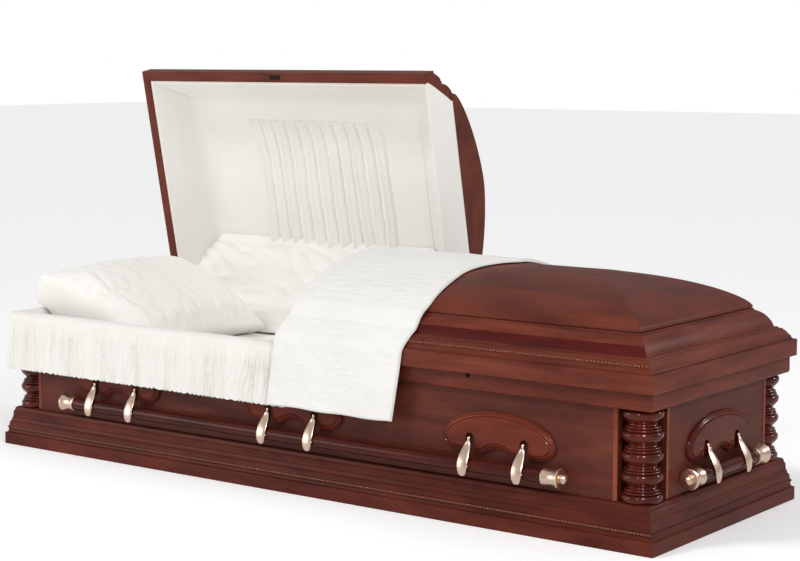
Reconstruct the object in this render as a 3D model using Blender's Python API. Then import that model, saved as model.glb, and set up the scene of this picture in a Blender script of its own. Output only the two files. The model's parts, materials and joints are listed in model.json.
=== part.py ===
"""A moulded hardwood funeral casket with a two-part lid, modelled at its real size in metres, +Z up.

The origin is on the floor under the middle of the base. +X is the foot end, -X the head end and -Y the
front. The head half of the lid stands open and the foot half is closed, with a padded throw laid over it.
"""
import math

import bmesh
import bpy
from mathutils import Vector

# Clearance between two pieces that touch
GAP = 0.0003

# Base: a moulded frame with a ledge for walls and columns, around a floor board
BASE_HALF_LENGTH = 1.067
BASE_HALF_WIDTH = 0.3612
BASE_HEIGHT = 0.108
BASE_RAIL_WIDTH = 0.055
BASE_LEDGE_THICKNESS = 0.012
FLOOR_THICKNESS = 0.018

# Body: four walls with returns that form a notch at each corner, and a rim on top
WALL_INSET = 0.032
WALL_THICKNESS = 0.019
WALL_HEIGHT = 0.2157
NOTCH_INSET = 0.112
RIM_INSET = 0.0145
RIM_HEIGHT = 0.0417
RIM_EDGE_ROUNDING = 0.004

# Corner columns: turned beads with two thin rings above each, under a thin square cap
COLUMN_INSET = 0.0694
COLUMN_RADIUS = 0.0487
COLUMN_BEADS = 5
COLUMN_CAP = 0.0022
COLUMN_SIDES = 12

# Lid: a moulded frame, a hipped crown with a header board at the cut, and a fabric lining
LID_END_INSET = 0.0035
LID_SIDE_INSET = -0.0019
LID_SEAM = 0.0015
SPLIT_X = 0.0116
SPLIT_GAP = 0.0006
CROWN_INSET = 0.085
CROWN_EDGE = 0.0087
CROWN_RISE = 0.094
CROWN_SHELL = 0.012
HIP_ROUNDING = 0.6
HEADER_THICKNESS = 0.019
HEADER_DROP = 0.0043
LINING_THICKNESS = 0.007
LINING_FLAT = 0.1085

# Hinges along the back of the rim
HINGE_OUT = 0.0045
HINGE_DROP = 0.0045
HINGE_RADIUS = 0.0042
HEAD_LID_OPEN_DEG = 78.84

# Handles: wooden swing bars on flat metal arms that hang from moulded wooden plates
PLATE_HALF_WIDTH = 0.1585
PLATE_TOP = 0.278
PLATE_MIDDLE = 0.207
PLATE_BOTTOM = 0.173
PLATE_THICKNESS = 0.012
PLATE_ARCH_HALF_WIDTH = 0.041
PLATE_ARCH_RISE = 0.016
PLATE_MOULDING = 0.0055
SLOT_WIDTH = 0.025
SLOT_TOP = 0.221
HANDLE_FROM_END = 0.4345
ARM_SPREAD = 0.077
PIVOT_OUT = 0.0155
PIVOT_Z = 0.207
BAR_OUT = 0.0255
BAR_Z = 0.146
BAR_RADIUS = 0.0165
ARM_THICKNESS = 0.005
ARM_HALF_WIDTH = 0.0135
ARM_BOTTOM = 0.121
KNUCKLE_RADIUS = 0.0058
SIDE_BAR_OVERHANG = 0.0645
END_BAR_OVERHANG = 0.060
TIP_LENGTH = 0.046
TIP_RADIUS = 0.024
KNOB_LENGTH = 0.019
KNOB_RADIUS = 0.011
BAR_SIDES = 10

# Soft parts
BED_TOP = 0.285
BED_THICKNESS = 0.11
BODY_LINING_THICKNESS = 0.010
BODY_LINING_TOP = 0.341
PILLOW_LENGTH = 0.44
PILLOW_WIDTH = 0.57
PILLOW_THICKNESS = 0.17
PILLOW_FROM_END = 0.270
PILLOW_CENTRE_Z = 0.395
PILLOW_TILT_DEG = 25.0
SKIRT_HEM = 0.223
SKIRT_ROLL = 0.017
SKIRT_THICKNESS = 0.006
THROW_THICKNESS = 0.010
THROW_HEM = 0.225
THROW_LEFT = -0.015
THROW_LEFT_AT_HEM = -0.060
THROW_RIGHT = 0.390
THROW_RIGHT_AT_HEM = 0.342
THROW_RIGHT_AT_RIDGE = 0.475
THROW_RIDGE_REACH = 0.14
THROW_BACK = 0.190
THROW_CLEARANCE = 0.004

# Levels and faces that follow from the sizes above
WALL_BOTTOM = BASE_HEIGHT + GAP
WALL_TOP = WALL_BOTTOM + WALL_HEIGHT
RIM_BOTTOM = WALL_TOP + GAP
RIM_TOP = RIM_BOTTOM + RIM_HEIGHT
LID_BOTTOM = RIM_TOP + LID_SEAM
WALL_INNER_INSET = WALL_INSET + WALL_THICKNESS
NOTCH_INNER_INSET = NOTCH_INSET + WALL_THICKNESS
WALL_FACE_X = BASE_HALF_LENGTH - WALL_INSET
WALL_FACE_Y = BASE_HALF_WIDTH - WALL_INSET
LID_HALF_LENGTH = BASE_HALF_LENGTH - LID_END_INSET
LID_HALF_WIDTH = BASE_HALF_WIDTH - LID_SIDE_INSET
HINGE_Y = BASE_HALF_WIDTH - RIM_INSET + HINGE_OUT
HINGE_Z = LID_BOTTOM - HINGE_DROP
HANDLE_PITCH = BASE_HALF_LENGTH - HANDLE_FROM_END
SIDE_BAR_HALF_LENGTH = HANDLE_PITCH + ARM_SPREAD + SIDE_BAR_OVERHANG
END_BAR_HALF_LENGTH = ARM_SPREAD + END_BAR_OVERHANG

# Base moulding, from the floor up, as (distance in from the outer edge, height)
BASE_PROFILE = [
    (0.0, 0.0),
    (0.0, 0.033),
    (0.007, 0.045),
    (0.0055, 0.050),
    (0.009, 0.057),
    (0.0105, 0.066),
    (0.015, 0.074),
    (0.0175, 0.082),
    (0.0175, 0.093),
    (0.021, 0.102),
    (0.031, BASE_HEIGHT),
]

# Lid moulding, from the seam up, as (distance in from the outer edge, height over the seam)
LID_OUTER_PROFILE = [
    (0.0, 0.0),
    (0.0, 0.0415),
    (0.009, 0.0445),
    (0.012, 0.0515),
    (0.017, 0.0555),
    (0.0255, 0.0655),
    (0.033, 0.0695),
    (0.038, 0.0735),
    (0.044, 0.0755),
    (0.050, 0.0905),
    (0.058, 0.1015),
    (0.066, 0.1115),
    (0.079, 0.1165),
    (0.082, 0.1215),
]
LID_SEAT = LID_OUTER_PROFILE[-1][1]
CROWN_BOTTOM = LID_BOTTOM + LID_SEAT + GAP
CROWN_FOOT = 0.1003

# Inside of the lid moulding, from the seat down
LID_INNER_PROFILE = [
    (CROWN_FOOT - GAP, LID_SEAT),
    (CROWN_FOOT - GAP, 0.1105),
    (0.083, 0.0890),
    (0.064, 0.0635),
    (0.040, 0.0305),
    (0.027, 0.0105),
    (0.029, 0.0),
]

WOOD = ((0.16, 0.045, 0.03), 0.28, 0.0)
TURNED_WOOD = ((0.10, 0.02, 0.015), 0.12, 0.0)
BOARD = ((0.33, 0.24, 0.15), 0.7, 0.0)
BRASS = ((0.80, 0.62, 0.42), 0.25, 1.0)
STEEL = ((0.35, 0.30, 0.25), 0.4, 1.0)
CREPE = ((0.86, 0.85, 0.82), 0.85, 0.0)


def clear_scene():
    """Remove whatever objects the scene holds."""
    for thing in list(bpy.data.objects):
        bpy.data.objects.remove(thing, do_unlink=True)


def finish_mesh(name, mesh, look, sharp_deg=None):
    """Make one named object with its own material from a finished bmesh."""
    bmesh.ops.remove_doubles(mesh, verts=mesh.verts, dist=1e-6)
    bmesh.ops.recalc_face_normals(mesh, faces=mesh.faces)
    data = bpy.data.meshes.new(name)
    mesh.to_mesh(data)
    mesh.free()
    if sharp_deg is not None:
        data.shade_smooth()
        data.set_sharp_from_angle(angle=math.radians(sharp_deg))
    return add_object(name, data, look)


def add_object(name, data, look):
    """Link a mesh to the scene as an object with its own Principled material."""
    thing = bpy.data.objects.new(name, data)
    bpy.context.scene.collection.objects.link(thing)
    colour, roughness, metallic = look
    material = bpy.data.materials.new(name)
    material.use_nodes = True
    shader = material.node_tree.nodes["Principled BSDF"]
    shader.inputs["Base Color"].default_value = (*colour, 1.0)
    shader.inputs["Roughness"].default_value = roughness
    shader.inputs["Metallic"].default_value = metallic
    if not data.materials:
        data.materials.append(None)
    thing.material_slots[0].link = "OBJECT"
    thing.material_slots[0].material = material
    return thing


def loft(loops, ring=False):
    """A bmesh through loops of equal length, capped at both ends or closed on itself as a ring."""
    mesh = bmesh.new()
    rows = [[mesh.verts.new(point) for point in loop] for loop in loops]
    count = len(rows[0])
    pairs = list(zip(rows, rows[1:]))
    if ring:
        pairs.append((rows[-1], rows[0]))
    for low, high in pairs:
        for i in range(count):
            j = (i + 1) % count
            mesh.faces.new((low[i], low[j], high[j], high[i]))
    if not ring:
        mesh.faces.new(rows[0])
        mesh.faces.new(list(reversed(rows[-1])))
    return mesh


def rectangle_ring(section, half_length, half_width):
    """The four mitred corner sections of a frame whose section is (distance in, z)."""
    corners = [(1, -1), (1, 1), (-1, 1), (-1, -1)]
    return [
        [(sx * (half_length - d), sy * (half_width - d), z) for d, z in section]
        for sx, sy in corners
    ]


def stepped_plan(inset, step_inset):
    """Plan of the body's inside, stepping round the wall returns at the four corners."""
    long_x = BASE_HALF_LENGTH - inset
    long_y = BASE_HALF_WIDTH - inset
    step_x = BASE_HALF_LENGTH - step_inset
    step_y = BASE_HALF_WIDTH - step_inset
    quarter = [(long_x, step_y), (step_x, step_y), (step_x, long_y)]
    return around_four_corners(quarter)


def square_plan(inset, step_inset):
    """The same number of points as stepped_plan, on a plain rectangle."""
    long_x = BASE_HALF_LENGTH - inset
    long_y = BASE_HALF_WIDTH - inset
    step_x = BASE_HALF_LENGTH - step_inset
    step_y = BASE_HALF_WIDTH - step_inset
    quarter = [(long_x, step_y), (long_x, long_y), (step_x, long_y)]
    return around_four_corners(quarter)


def around_four_corners(quarter):
    """Repeat the points of the +X +Y corner round the other three, anticlockwise."""
    back = [(-x, y) for x, y in reversed(quarter)]
    opposite = [(-x, -y) for x, y in quarter]
    front = [(x, -y) for x, y in reversed(quarter)]
    return quarter + back + opposite + front


def at_height(plan, z):
    """Lift a plan outline to a height."""
    return [(x, y, z) for x, y in plan]


def prism(plan, low, high):
    """A straight block on a plan outline."""
    return loft([at_height(plan, low), at_height(plan, high)])


def build_base():
    """The moulded base frame and the floor board inside it."""
    section = BASE_PROFILE + [
        (NOTCH_INNER_INSET, BASE_HEIGHT),
        (NOTCH_INNER_INSET, BASE_HEIGHT - BASE_LEDGE_THICKNESS),
        (BASE_RAIL_WIDTH, BASE_HEIGHT - BASE_LEDGE_THICKNESS),
        (BASE_RAIL_WIDTH, 0.0),
    ]
    frame = loft(rectangle_ring(section, BASE_HALF_LENGTH, BASE_HALF_WIDTH), ring=True)
    finish_mesh("base_moulding", frame, WOOD)
    half_x = BASE_HALF_LENGTH - BASE_RAIL_WIDTH - GAP
    half_y = BASE_HALF_WIDTH - BASE_RAIL_WIDTH - GAP
    plan = [(half_x, -half_y), (half_x, half_y), (-half_x, half_y), (-half_x, -half_y)]
    finish_mesh("floor_board", prism(plan, 0.0, FLOOR_THICKNESS), BOARD)


def build_walls():
    """Two long walls and two end walls, each with returns that line the corner notches."""
    notch_x = BASE_HALF_LENGTH - NOTCH_INSET
    notch_y = BASE_HALF_WIDTH - NOTCH_INSET
    inner_x = WALL_FACE_X - WALL_THICKNESS
    inner_y = WALL_FACE_Y - WALL_THICKNESS
    return_x = notch_x - WALL_THICKNESS
    return_y = notch_y - WALL_THICKNESS
    long_half = [
        (notch_x, WALL_FACE_Y),
        (notch_x, return_y),
        (return_x, return_y),
        (return_x, inner_y),
    ]
    for name, side in (("front_wall", -1), ("back_wall", 1)):
        plan = long_half + [(-x, y) for x, y in reversed(long_half)]
        finish_mesh(name, prism([(x, side * y) for x, y in plan], WALL_BOTTOM, WALL_TOP), WOOD)
    butt_x = notch_x + GAP
    end_half = [
        (WALL_FACE_X, notch_y),
        (butt_x, notch_y),
        (butt_x, return_y),
        (inner_x, return_y),
    ]
    for name, side in (("foot_end_wall", 1), ("head_end_wall", -1)):
        plan = end_half + [(x, -y) for x, y in reversed(end_half)]
        finish_mesh(name, prism([(side * x, y) for x, y in plan], WALL_BOTTOM, WALL_TOP), WOOD)


def build_rim():
    """The plain rail that caps the walls and that the lid closes on."""
    outer = RIM_INSET
    section = [
        (outer + RIM_EDGE_ROUNDING, RIM_BOTTOM),
        (outer + 0.3 * RIM_EDGE_ROUNDING, RIM_BOTTOM + 0.3 * RIM_EDGE_ROUNDING),
        (outer, RIM_BOTTOM + RIM_EDGE_ROUNDING),
        (outer, RIM_TOP),
        (WALL_INNER_INSET, RIM_TOP),
        (WALL_INNER_INSET, RIM_BOTTOM),
    ]
    ring = loft(rectangle_ring(section, BASE_HALF_LENGTH, BASE_HALF_WIDTH), ring=True)
    finish_mesh("body_rim", ring, WOOD)


def column_profile():
    """Radius and height along a column, bottom to top: a bead, then two thin rings, five times over."""
    height = WALL_HEIGHT - GAP - COLUMN_CAP
    pitch = height / (COLUMN_BEADS - 0.16)
    bead = [(0.585, 0.0), (0.83, 0.25), (1.0, 0.53), (0.80, 0.82), (0.69, 0.93)]
    profile = []
    for k in range(COLUMN_BEADS):
        for radius_share, height_share in bead:
            z = (k + height_share) * pitch
            if z < height - 0.002:
                profile.append((COLUMN_RADIUS * radius_share, z))
    profile.append((COLUMN_RADIUS * 0.76, height))
    return profile


def build_columns():
    """A turned column in each corner notch, trimmed flat where it meets the wall returns."""
    to_notch = NOTCH_INSET - COLUMN_INSET - GAP
    to_face = COLUMN_INSET - WALL_INSET
    bottom = WALL_BOTTOM
    height = WALL_HEIGHT - GAP
    directions = [
        (math.cos(2 * math.pi * i / COLUMN_SIDES), math.sin(2 * math.pi * i / COLUMN_SIDES))
        for i in range(COLUMN_SIDES)
    ]

    def round_loop(radius, z):
        """A circle on the column's axis, flattened against the two walls of the notch."""
        return [(max(-to_notch, radius * c), max(-to_notch, radius * s), z) for c, s in directions]

    def square_loop(z):
        """The same directions, out to the square cap's edge."""
        loop = []
        for c, s in directions:
            reach_c = (to_face if c > 0 else to_notch) / max(abs(c), 1e-9)
            reach_s = (to_face if s > 0 else to_notch) / max(abs(s), 1e-9)
            reach = min(reach_c, reach_s)
            loop.append((c * reach, s * reach, z))
        return loop

    loops = [round_loop(radius, z) for radius, z in column_profile()]
    loops += [square_loop(height - COLUMN_CAP), square_loop(height)]
    corners = {
        "column_foot_front": (1, -1),
        "column_foot_back": (1, 1),
        "column_head_back": (-1, 1),
        "column_head_front": (-1, -1),
    }
    for name, (sx, sy) in corners.items():
        turned = loft([[(sx * x, sy * y, z) for x, y, z in loop] for loop in loops])
        column = finish_mesh(name, turned, TURNED_WOOD, sharp_deg=50)
        centre_x = sx * (BASE_HALF_LENGTH - COLUMN_INSET)
        centre_y = sy * (BASE_HALF_WIDTH - COLUMN_INSET)
        column.location = (centre_x, centre_y, bottom)


def build_interior():
    """The body's fabric lining and the mattress that the pillow lies on."""
    low = WALL_BOTTOM
    depth = BODY_LINING_THICKNESS
    outer = (WALL_INNER_INSET + GAP, NOTCH_INNER_INSET + GAP)
    inner = (outer[0] + depth, outer[1] + depth)
    ledge = 0.0013
    loops = [
        at_height(stepped_plan(*outer), low),
        at_height(stepped_plan(*outer), RIM_BOTTOM),
        at_height(square_plan(*outer), RIM_BOTTOM + ledge),
        at_height(square_plan(*outer), BODY_LINING_TOP),
        at_height(square_plan(*inner), BODY_LINING_TOP),
        at_height(square_plan(*inner), RIM_BOTTOM + ledge + depth),
        at_height(stepped_plan(*inner), RIM_BOTTOM + depth),
        at_height(stepped_plan(*inner), low),
    ]
    finish_mesh("body_lining", loft(loops, ring=True), CREPE)
    bed = stepped_plan(inner[0] + GAP, inner[1] + GAP)
    finish_mesh("mattress", prism(bed, BED_TOP - BED_THICKNESS, BED_TOP), CREPE)


def build_pillow():
    """A plump pillow that leans on the head end and lies flat where it meets the mattress."""
    tilt = math.radians(PILLOW_TILT_DEG)
    along = Vector((math.cos(tilt), 0.0, -math.sin(tilt)))
    across = Vector((0.0, 1.0, 0.0))
    upward = Vector((math.sin(tilt), 0.0, math.cos(tilt)))
    centre = Vector((PILLOW_FROM_END - BASE_HALF_LENGTH, 0.0, PILLOW_CENTRE_Z))
    columns, rows = 6, 8
    mesh = bmesh.new()
    sides = []
    for side in (1, -1):
        grid = []
        for i in range(columns + 1):
            u = -1 + 2 * i / columns
            line = []
            for j in range(rows + 1):
                v = -1 + 2 * j / rows
                swell = max(0.0, (1 - u * u) * (1 - v * v)) ** 0.4
                waist_u = u * (1 - 0.04 * (1 - v * v))
                waist_v = v * (1 - 0.04 * (1 - u * u))
                point = centre + along * (waist_u * PILLOW_LENGTH / 2)
                point += across * (waist_v * PILLOW_WIDTH / 2)
                point += upward * (side * swell * PILLOW_THICKNESS / 2)
                point.z = max(point.z, BED_TOP + GAP)
                line.append(mesh.verts.new(point))
            grid.append(line)
        sides.append(grid)
    turns = {(0, 0): 0, (columns - 1, 0): 1, (columns - 1, rows - 1): 2, (0, rows - 1): 3}
    for grid in sides:
        for i in range(columns):
            for j in range(rows):
                face = [grid[i][j], grid[i + 1][j], grid[i + 1][j + 1], grid[i][j + 1]]
                if (i, j) not in turns:
                    mesh.faces.new(face)
                    continue
                # A corner is cut from the seam's tip inwards, so the two sides share no triangle.
                tip, near, inside, far = face[turns[i, j]:] + face[:turns[i, j]]
                mesh.faces.new((tip, near, inside))
                mesh.faces.new((tip, inside, far))
    finish_mesh("pillow", mesh, CREPE, sharp_deg=60)


def build_skirt():
    """The gathered skirt: from inside the rim, rolled over it, and down outside the head half."""
    inner = WALL_INNER_INSET + GAP
    roll_top = RIM_TOP + SKIRT_ROLL
    outside = RIM_INSET - 0.0015
    section = [
        (inner + SKIRT_THICKNESS, BODY_LINING_TOP + GAP),
        (inner + SKIRT_THICKNESS, RIM_TOP + 0.35 * SKIRT_ROLL),
        (inner, RIM_TOP + 0.8 * SKIRT_ROLL),
        (0.55 * inner, roll_top),
        (outside, RIM_TOP + 0.75 * SKIRT_ROLL),
        (outside - SKIRT_THICKNESS - 0.001, RIM_TOP + 0.2 * SKIRT_ROLL),
        (outside - SKIRT_THICKNESS - 0.004, 0.5 * (RIM_TOP + SKIRT_HEM)),
        (outside - SKIRT_THICKNESS - 0.006, SKIRT_HEM),
        (outside - 0.006, SKIRT_HEM),
        (outside - 0.004, 0.5 * (RIM_TOP + SKIRT_HEM)),
        (outside, RIM_TOP + GAP),
        (inner, RIM_TOP + GAP),
        (inner, BODY_LINING_TOP + GAP),
    ]
    end_x = SPLIT_X - 0.015
    back_y = BASE_HALF_WIDTH - WALL_INNER_INSET
    loops = [
        [(end_x, -(BASE_HALF_WIDTH - d), z) for d, z in section],
        [(-(BASE_HALF_LENGTH - d), -(BASE_HALF_WIDTH - d), z) for d, z in section],
        [(-(BASE_HALF_LENGTH - d), back_y - 0.004, z) for d, z in section],
    ]
    finish_mesh("skirt", loft(loops), CREPE)


def crown_height(t, low, rise):
    """Height of the crown where t runs from 0 at the ridge to 1 at the edge."""
    return low + rise * max(0.0, 1 - t**1.6) ** 0.75


def crown_loops(cut, end, half_width, low, rise):
    """U-shaped contour lines of the crown from its edge to its ridge, open at the cut.

    Each is a rectangle with rounded corners whose rounding grows with height, so that the hips are
    sharp at the edge and fade towards the ridge.
    """
    steps = 4
    loops = []
    for t in (1.0, 0.97, 0.89, 0.77, 0.6, 0.4, 0.2, 0.0):
        half = half_width * t
        tip = end - half_width * (1 - t)
        rounding = min(0.9 * half, HIP_ROUNDING * half_width * (1 - t))
        middle = 0.5 * (cut + end - half_width)
        corner = []
        for k in range(steps + 1):
            angle = -0.5 * math.pi * (1 - k / steps)
            x = tip - rounding + rounding * math.cos(angle)
            corner.append((x, -half + rounding + rounding * math.sin(angle)))
        side = [(cut, -half), (middle, -half)] + corner
        plan = side + [(tip, 0.0)] + [(x, -y) for x, y in reversed(side)]
        z = crown_height(t, low, rise)
        loops.append([(x, y, z) for x, y in plan])
    return loops


def crown_mesh(cut):
    """The crown shell with its header board fused in, hipped at +X and cut at x = cut."""
    half_width = LID_HALF_WIDTH - CROWN_INSET
    end = LID_HALF_LENGTH - CROWN_INSET
    header = cut + HEADER_THICKNESS
    edge_top = CROWN_BOTTOM + CROWN_EDGE
    foot_y = LID_HALF_WIDTH - CROWN_FOOT - GAP
    foot_z = CROWN_BOTTOM - HEADER_DROP
    outer = crown_loops(cut, end, half_width, edge_top, CROWN_RISE)
    lip = [(x, y, CROWN_BOTTOM) for x, y, z in outer[0]]
    inner_rise = edge_top + CROWN_RISE - CROWN_SHELL - CROWN_BOTTOM
    inner_width = half_width - CROWN_SHELL
    inner = crown_loops(header, end - CROWN_SHELL, inner_width, CROWN_BOTTOM, inner_rise)
    mesh = bmesh.new()
    rows = [[mesh.verts.new(p) for p in loop] for loop in [lip] + outer]
    inner_rows = [[mesh.verts.new(p) for p in loop] for loop in inner]
    bands = list(zip(rows, rows[1:])) + list(zip(inner_rows, inner_rows[1:]))
    bands.append((rows[0], inner_rows[0]))
    for low, high in bands:
        for i in range(len(low) - 1):
            mesh.faces.new((low[i], low[i + 1], high[i + 1], high[i]))
    corners = {}
    for x_name, x in (("cut", cut), ("header", header)):
        for y_name, side in (("front", -1), ("back", 1)):
            corners[x_name, y_name, "up"] = mesh.verts.new((x, side * foot_y, CROWN_BOTTOM))
            corners[x_name, y_name, "down"] = mesh.verts.new((x, side * foot_y, foot_z))
    for x_name, curves in (("cut", rows), ("header", inner_rows)):
        arch = [row[0] for row in curves] + [row[-1] for row in reversed(curves[:-1])]
        back = [corners[x_name, "back", "up"], corners[x_name, "back", "down"]]
        front = [corners[x_name, "front", "down"], corners[x_name, "front", "up"]]
        mesh.faces.new(arch + back + front)
    for y_name, index in (("front", 0), ("back", -1)):
        cut_up = corners["cut", y_name, "up"]
        header_up = corners["header", y_name, "up"]
        mesh.faces.new((rows[0][index], inner_rows[0][index], header_up, cut_up))
        down = (corners["header", y_name, "down"], corners["cut", y_name, "down"])
        mesh.faces.new((cut_up, header_up, *down))
    mesh.faces.new(
        (
            corners["cut", "front", "down"],
            corners["header", "front", "down"],
            corners["header", "back", "down"],
            corners["cut", "back", "down"],
        )
    )
    return mesh


def lid_frame_mesh(cut):
    """The lid's moulding on three sides, mitred at the corners and sawn off at x = cut."""
    section = [(d, LID_BOTTOM + z) for d, z in LID_OUTER_PROFILE + LID_INNER_PROFILE]
    stations = []
    for at_end, side in ((False, -1), (True, -1), (True, 1), (False, 1)):
        loop = []
        for d, z in section:
            x = LID_HALF_LENGTH - d if at_end else cut
            loop.append((x, side * (LID_HALF_WIDTH - d), z))
        stations.append(loop)
    return loft(stations)


def lid_lining_mesh(cut):
    """The fabric tray inside a lid: coved borders round a flat panel, closed off square at the cut."""
    behind = [(d + 2 * GAP, z) for d, z in reversed(LID_INNER_PROFILE[1:])]
    behind.append((CROWN_FOOT + 2 * GAP, LINING_FLAT + LINING_THICKNESS))
    behind[0] = (LID_INNER_PROFILE[-1][0] + 2 * GAP, 0.0015)
    visible = [
        (0.037, 0.0015, 0.006),
        (0.049, 0.024, 0.012),
        (0.074, 0.057, 0.035),
        (0.094, 0.085, 0.060),
        (0.118, 0.100, 0.085),
        (0.166, LINING_FLAT, 0.116),
    ]
    loops = []
    for d, z in reversed(behind):
        x_low, x_high = cut + GAP, LID_HALF_LENGTH - d
        loops.append(rectangle(x_low, x_high, LID_HALF_WIDTH - d, LID_BOTTOM + z))
    for d, z, from_cut in visible:
        x_low, x_high = cut + from_cut, LID_HALF_LENGTH - d
        loops.append(rectangle(x_low, x_high, LID_HALF_WIDTH - d, LID_BOTTOM + z))
    return loft(loops)


def rectangle(x_low, x_high, half_width, z):
    """A level rectangle as four points."""
    return [
        (x_low, -half_width, z),
        (x_high, -half_width, z),
        (x_high, half_width, z),
        (x_low, half_width, z),
    ]


def hinge_mesh(cut):
    """A continuous hinge knuckle along one lid half."""
    sides = 8
    circle = []
    for i in range(sides):
        angle = math.pi * (2 * i + 1) / sides
        y = HINGE_Y + HINGE_RADIUS * math.cos(angle)
        circle.append((y, HINGE_Z + HINGE_RADIUS * math.sin(angle)))
    ends = (cut + 0.02, LID_HALF_LENGTH - 0.06)
    return loft([[(x, y, z) for y, z in circle] for x in ends])


def hang_on_axis(pieces, name, place, turn):
    """Parent pieces, modelled in world coordinates, to an empty on their joint's axis, then turn it."""
    axis = bpy.data.objects.new(name, None)
    bpy.context.scene.collection.objects.link(axis)
    axis.location = place
    for piece in pieces:
        piece.parent = axis
        piece.location = Vector(piece.location) - Vector(place)
    axis.rotation_euler = turn
    return axis


def build_lid(prefix, side, cut, turn_deg):
    """One half of the lid; side is +1 for the foot half and -1 for the head half."""
    parts = [
        ("lid_frame", lid_frame_mesh(cut), WOOD, None),
        ("lid_crown", crown_mesh(cut), WOOD, 35),
        ("lid_lining", lid_lining_mesh(cut), CREPE, None),
        ("lid_hinge", hinge_mesh(cut), STEEL, 50),
    ]
    pieces = []
    for name, mesh, look, sharp_deg in parts:
        for vert in mesh.verts:
            vert.co.x *= side
        pieces.append(finish_mesh(f"{prefix}_{name}", mesh, look, sharp_deg))
    if prefix == "foot":
        pieces.append(build_throw())
    place = (0.0, HINGE_Y, HINGE_Z)
    turn = (math.radians(-turn_deg), 0.0, 0.0)
    hang_on_axis(pieces, f"{prefix}_lid_axis", place, turn)


def throw_path():
    """Underside of the throw from its hem at the front up over the mouldings and across the crown."""
    out = LID_HALF_WIDTH + THROW_CLEARANCE
    seam = LID_BOTTOM
    half_width = LID_HALF_WIDTH - CROWN_INSET
    low = CROWN_BOTTOM + CROWN_EDGE
    path = [(-out, THROW_HEM), (-out, 0.5 * (THROW_HEM + seam)), (-out, seam + 0.036)]
    for d, z in ((0.003, 0.0475), (0.026, 0.0715), (0.042, 0.0850), (0.060, 0.1165), (0.081, 0.1335)):
        path.append((-(LID_HALF_WIDTH - d), seam + z))
    for t in (0.97, 0.89, 0.77, 0.6, 0.4, 0.2, 0.0, -0.2, -0.4, -0.6):
        y = -half_width * t
        if y < THROW_BACK:
            path.append((y, crown_height(abs(t), low, CROWN_RISE) + THROW_CLEARANCE))
    return path


def build_throw():
    """The padded throw over the head end of the closed foot lid, hanging down the front."""
    path = throw_path()
    points = [Vector((0.0, y, z)) for y, z in path]
    lengths = [0.0]
    for before, after in zip(points, points[1:]):
        lengths.append(lengths[-1] + (after - before).length)
    total = lengths[-1]
    across = 4
    sheets = ([], [])
    for k, point in enumerate(points):
        before = points[max(k - 1, 0)]
        after = points[min(k + 1, len(points) - 1)]
        run = (after - before).normalized()
        normal = Vector((0.0, -run.z, run.y))
        share = lengths[k] / total
        hem = max(0.0, 1 - share / 0.42) ** 1.3
        left = THROW_LEFT + (THROW_LEFT_AT_HEM - THROW_LEFT) * hem
        crest = max(0.0, 1 - abs(point.y) / THROW_RIDGE_REACH) ** 2
        right = THROW_RIGHT + (THROW_RIGHT_AT_HEM - THROW_RIGHT) * hem
        right += (THROW_RIGHT_AT_RIDGE - THROW_RIGHT) * crest
        for sheet, lift in zip(sheets, (0.0, THROW_THICKNESS)):
            row = []
            for i in range(across + 1):
                x = left + (right - left) * i / across
                row.append(point + normal * lift + Vector((x, 0.0, 0.0)))
            sheet.append(row)
    mesh = bmesh.new()
    under, over = [[[mesh.verts.new(p) for p in row] for row in sheet] for sheet in sheets]
    last = len(points) - 1
    for grid in (under, over):
        for k in range(last):
            for i in range(across):
                mesh.faces.new((grid[k][i], grid[k][i + 1], grid[k + 1][i + 1], grid[k + 1][i]))
    for k in range(last):
        for i in (0, across):
            mesh.faces.new((under[k][i], under[k + 1][i], over[k + 1][i], over[k][i]))
    for i in range(across):
        for k in (0, last):
            mesh.faces.new((under[k][i], under[k][i + 1], over[k][i + 1], over[k][i]))
    return finish_mesh("throw", mesh, CREPE, sharp_deg=60)


def plate_outline():
    """A handle plate's outline as (x, z): an oval top, rounded lobes below and an arch between them."""
    half = PLATE_HALF_WIDTH
    lobe = 0.3 * half
    points = []
    top_steps, lobe_steps, arch_steps = 10, 3, 4
    for k in range(top_steps + 1):
        angle = math.pi * k / top_steps
        x = half * math.cos(angle)
        points.append((x, PLATE_MIDDLE + (PLATE_TOP - PLATE_MIDDLE) * math.sin(angle)))
    for k in range(1, lobe_steps + 1):
        angle = 0.5 * math.pi * k / lobe_steps
        x = -half + lobe - lobe * math.cos(angle)
        points.append((x, PLATE_MIDDLE - (PLATE_MIDDLE - PLATE_BOTTOM) * math.sin(angle)))
    for k in range(arch_steps + 1):
        x = -PLATE_ARCH_HALF_WIDTH + 2 * PLATE_ARCH_HALF_WIDTH * k / arch_steps
        rise = PLATE_ARCH_RISE * (1 - (x / PLATE_ARCH_HALF_WIDTH) ** 2)
        points.append((x, PLATE_BOTTOM + rise))
    for k in range(lobe_steps):
        angle = 0.5 * math.pi * (1 - k / lobe_steps)
        x = half - lobe + lobe * math.cos(angle)
        points.append((x, PLATE_MIDDLE - (PLATE_MIDDLE - PLATE_BOTTOM) * math.sin(angle)))
    return points


def shrink_outline(points, distance):
    """Move an anticlockwise outline inwards by a distance."""
    moved = []
    count = len(points)
    for i, (x, z) in enumerate(points):
        before = Vector(points[i - 1])
        here = Vector((x, z))
        after = Vector(points[(i + 1) % count])
        first = (here - before).normalized()
        second = (after - here).normalized()
        normal = Vector((-first.y - second.y, first.x + second.x)).normalized()
        spread = max(0.5, normal.dot(Vector((-first.y, first.x))))
        moved.append((x + normal.x * distance / spread, z + normal.y * distance / spread))
    return moved


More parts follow.
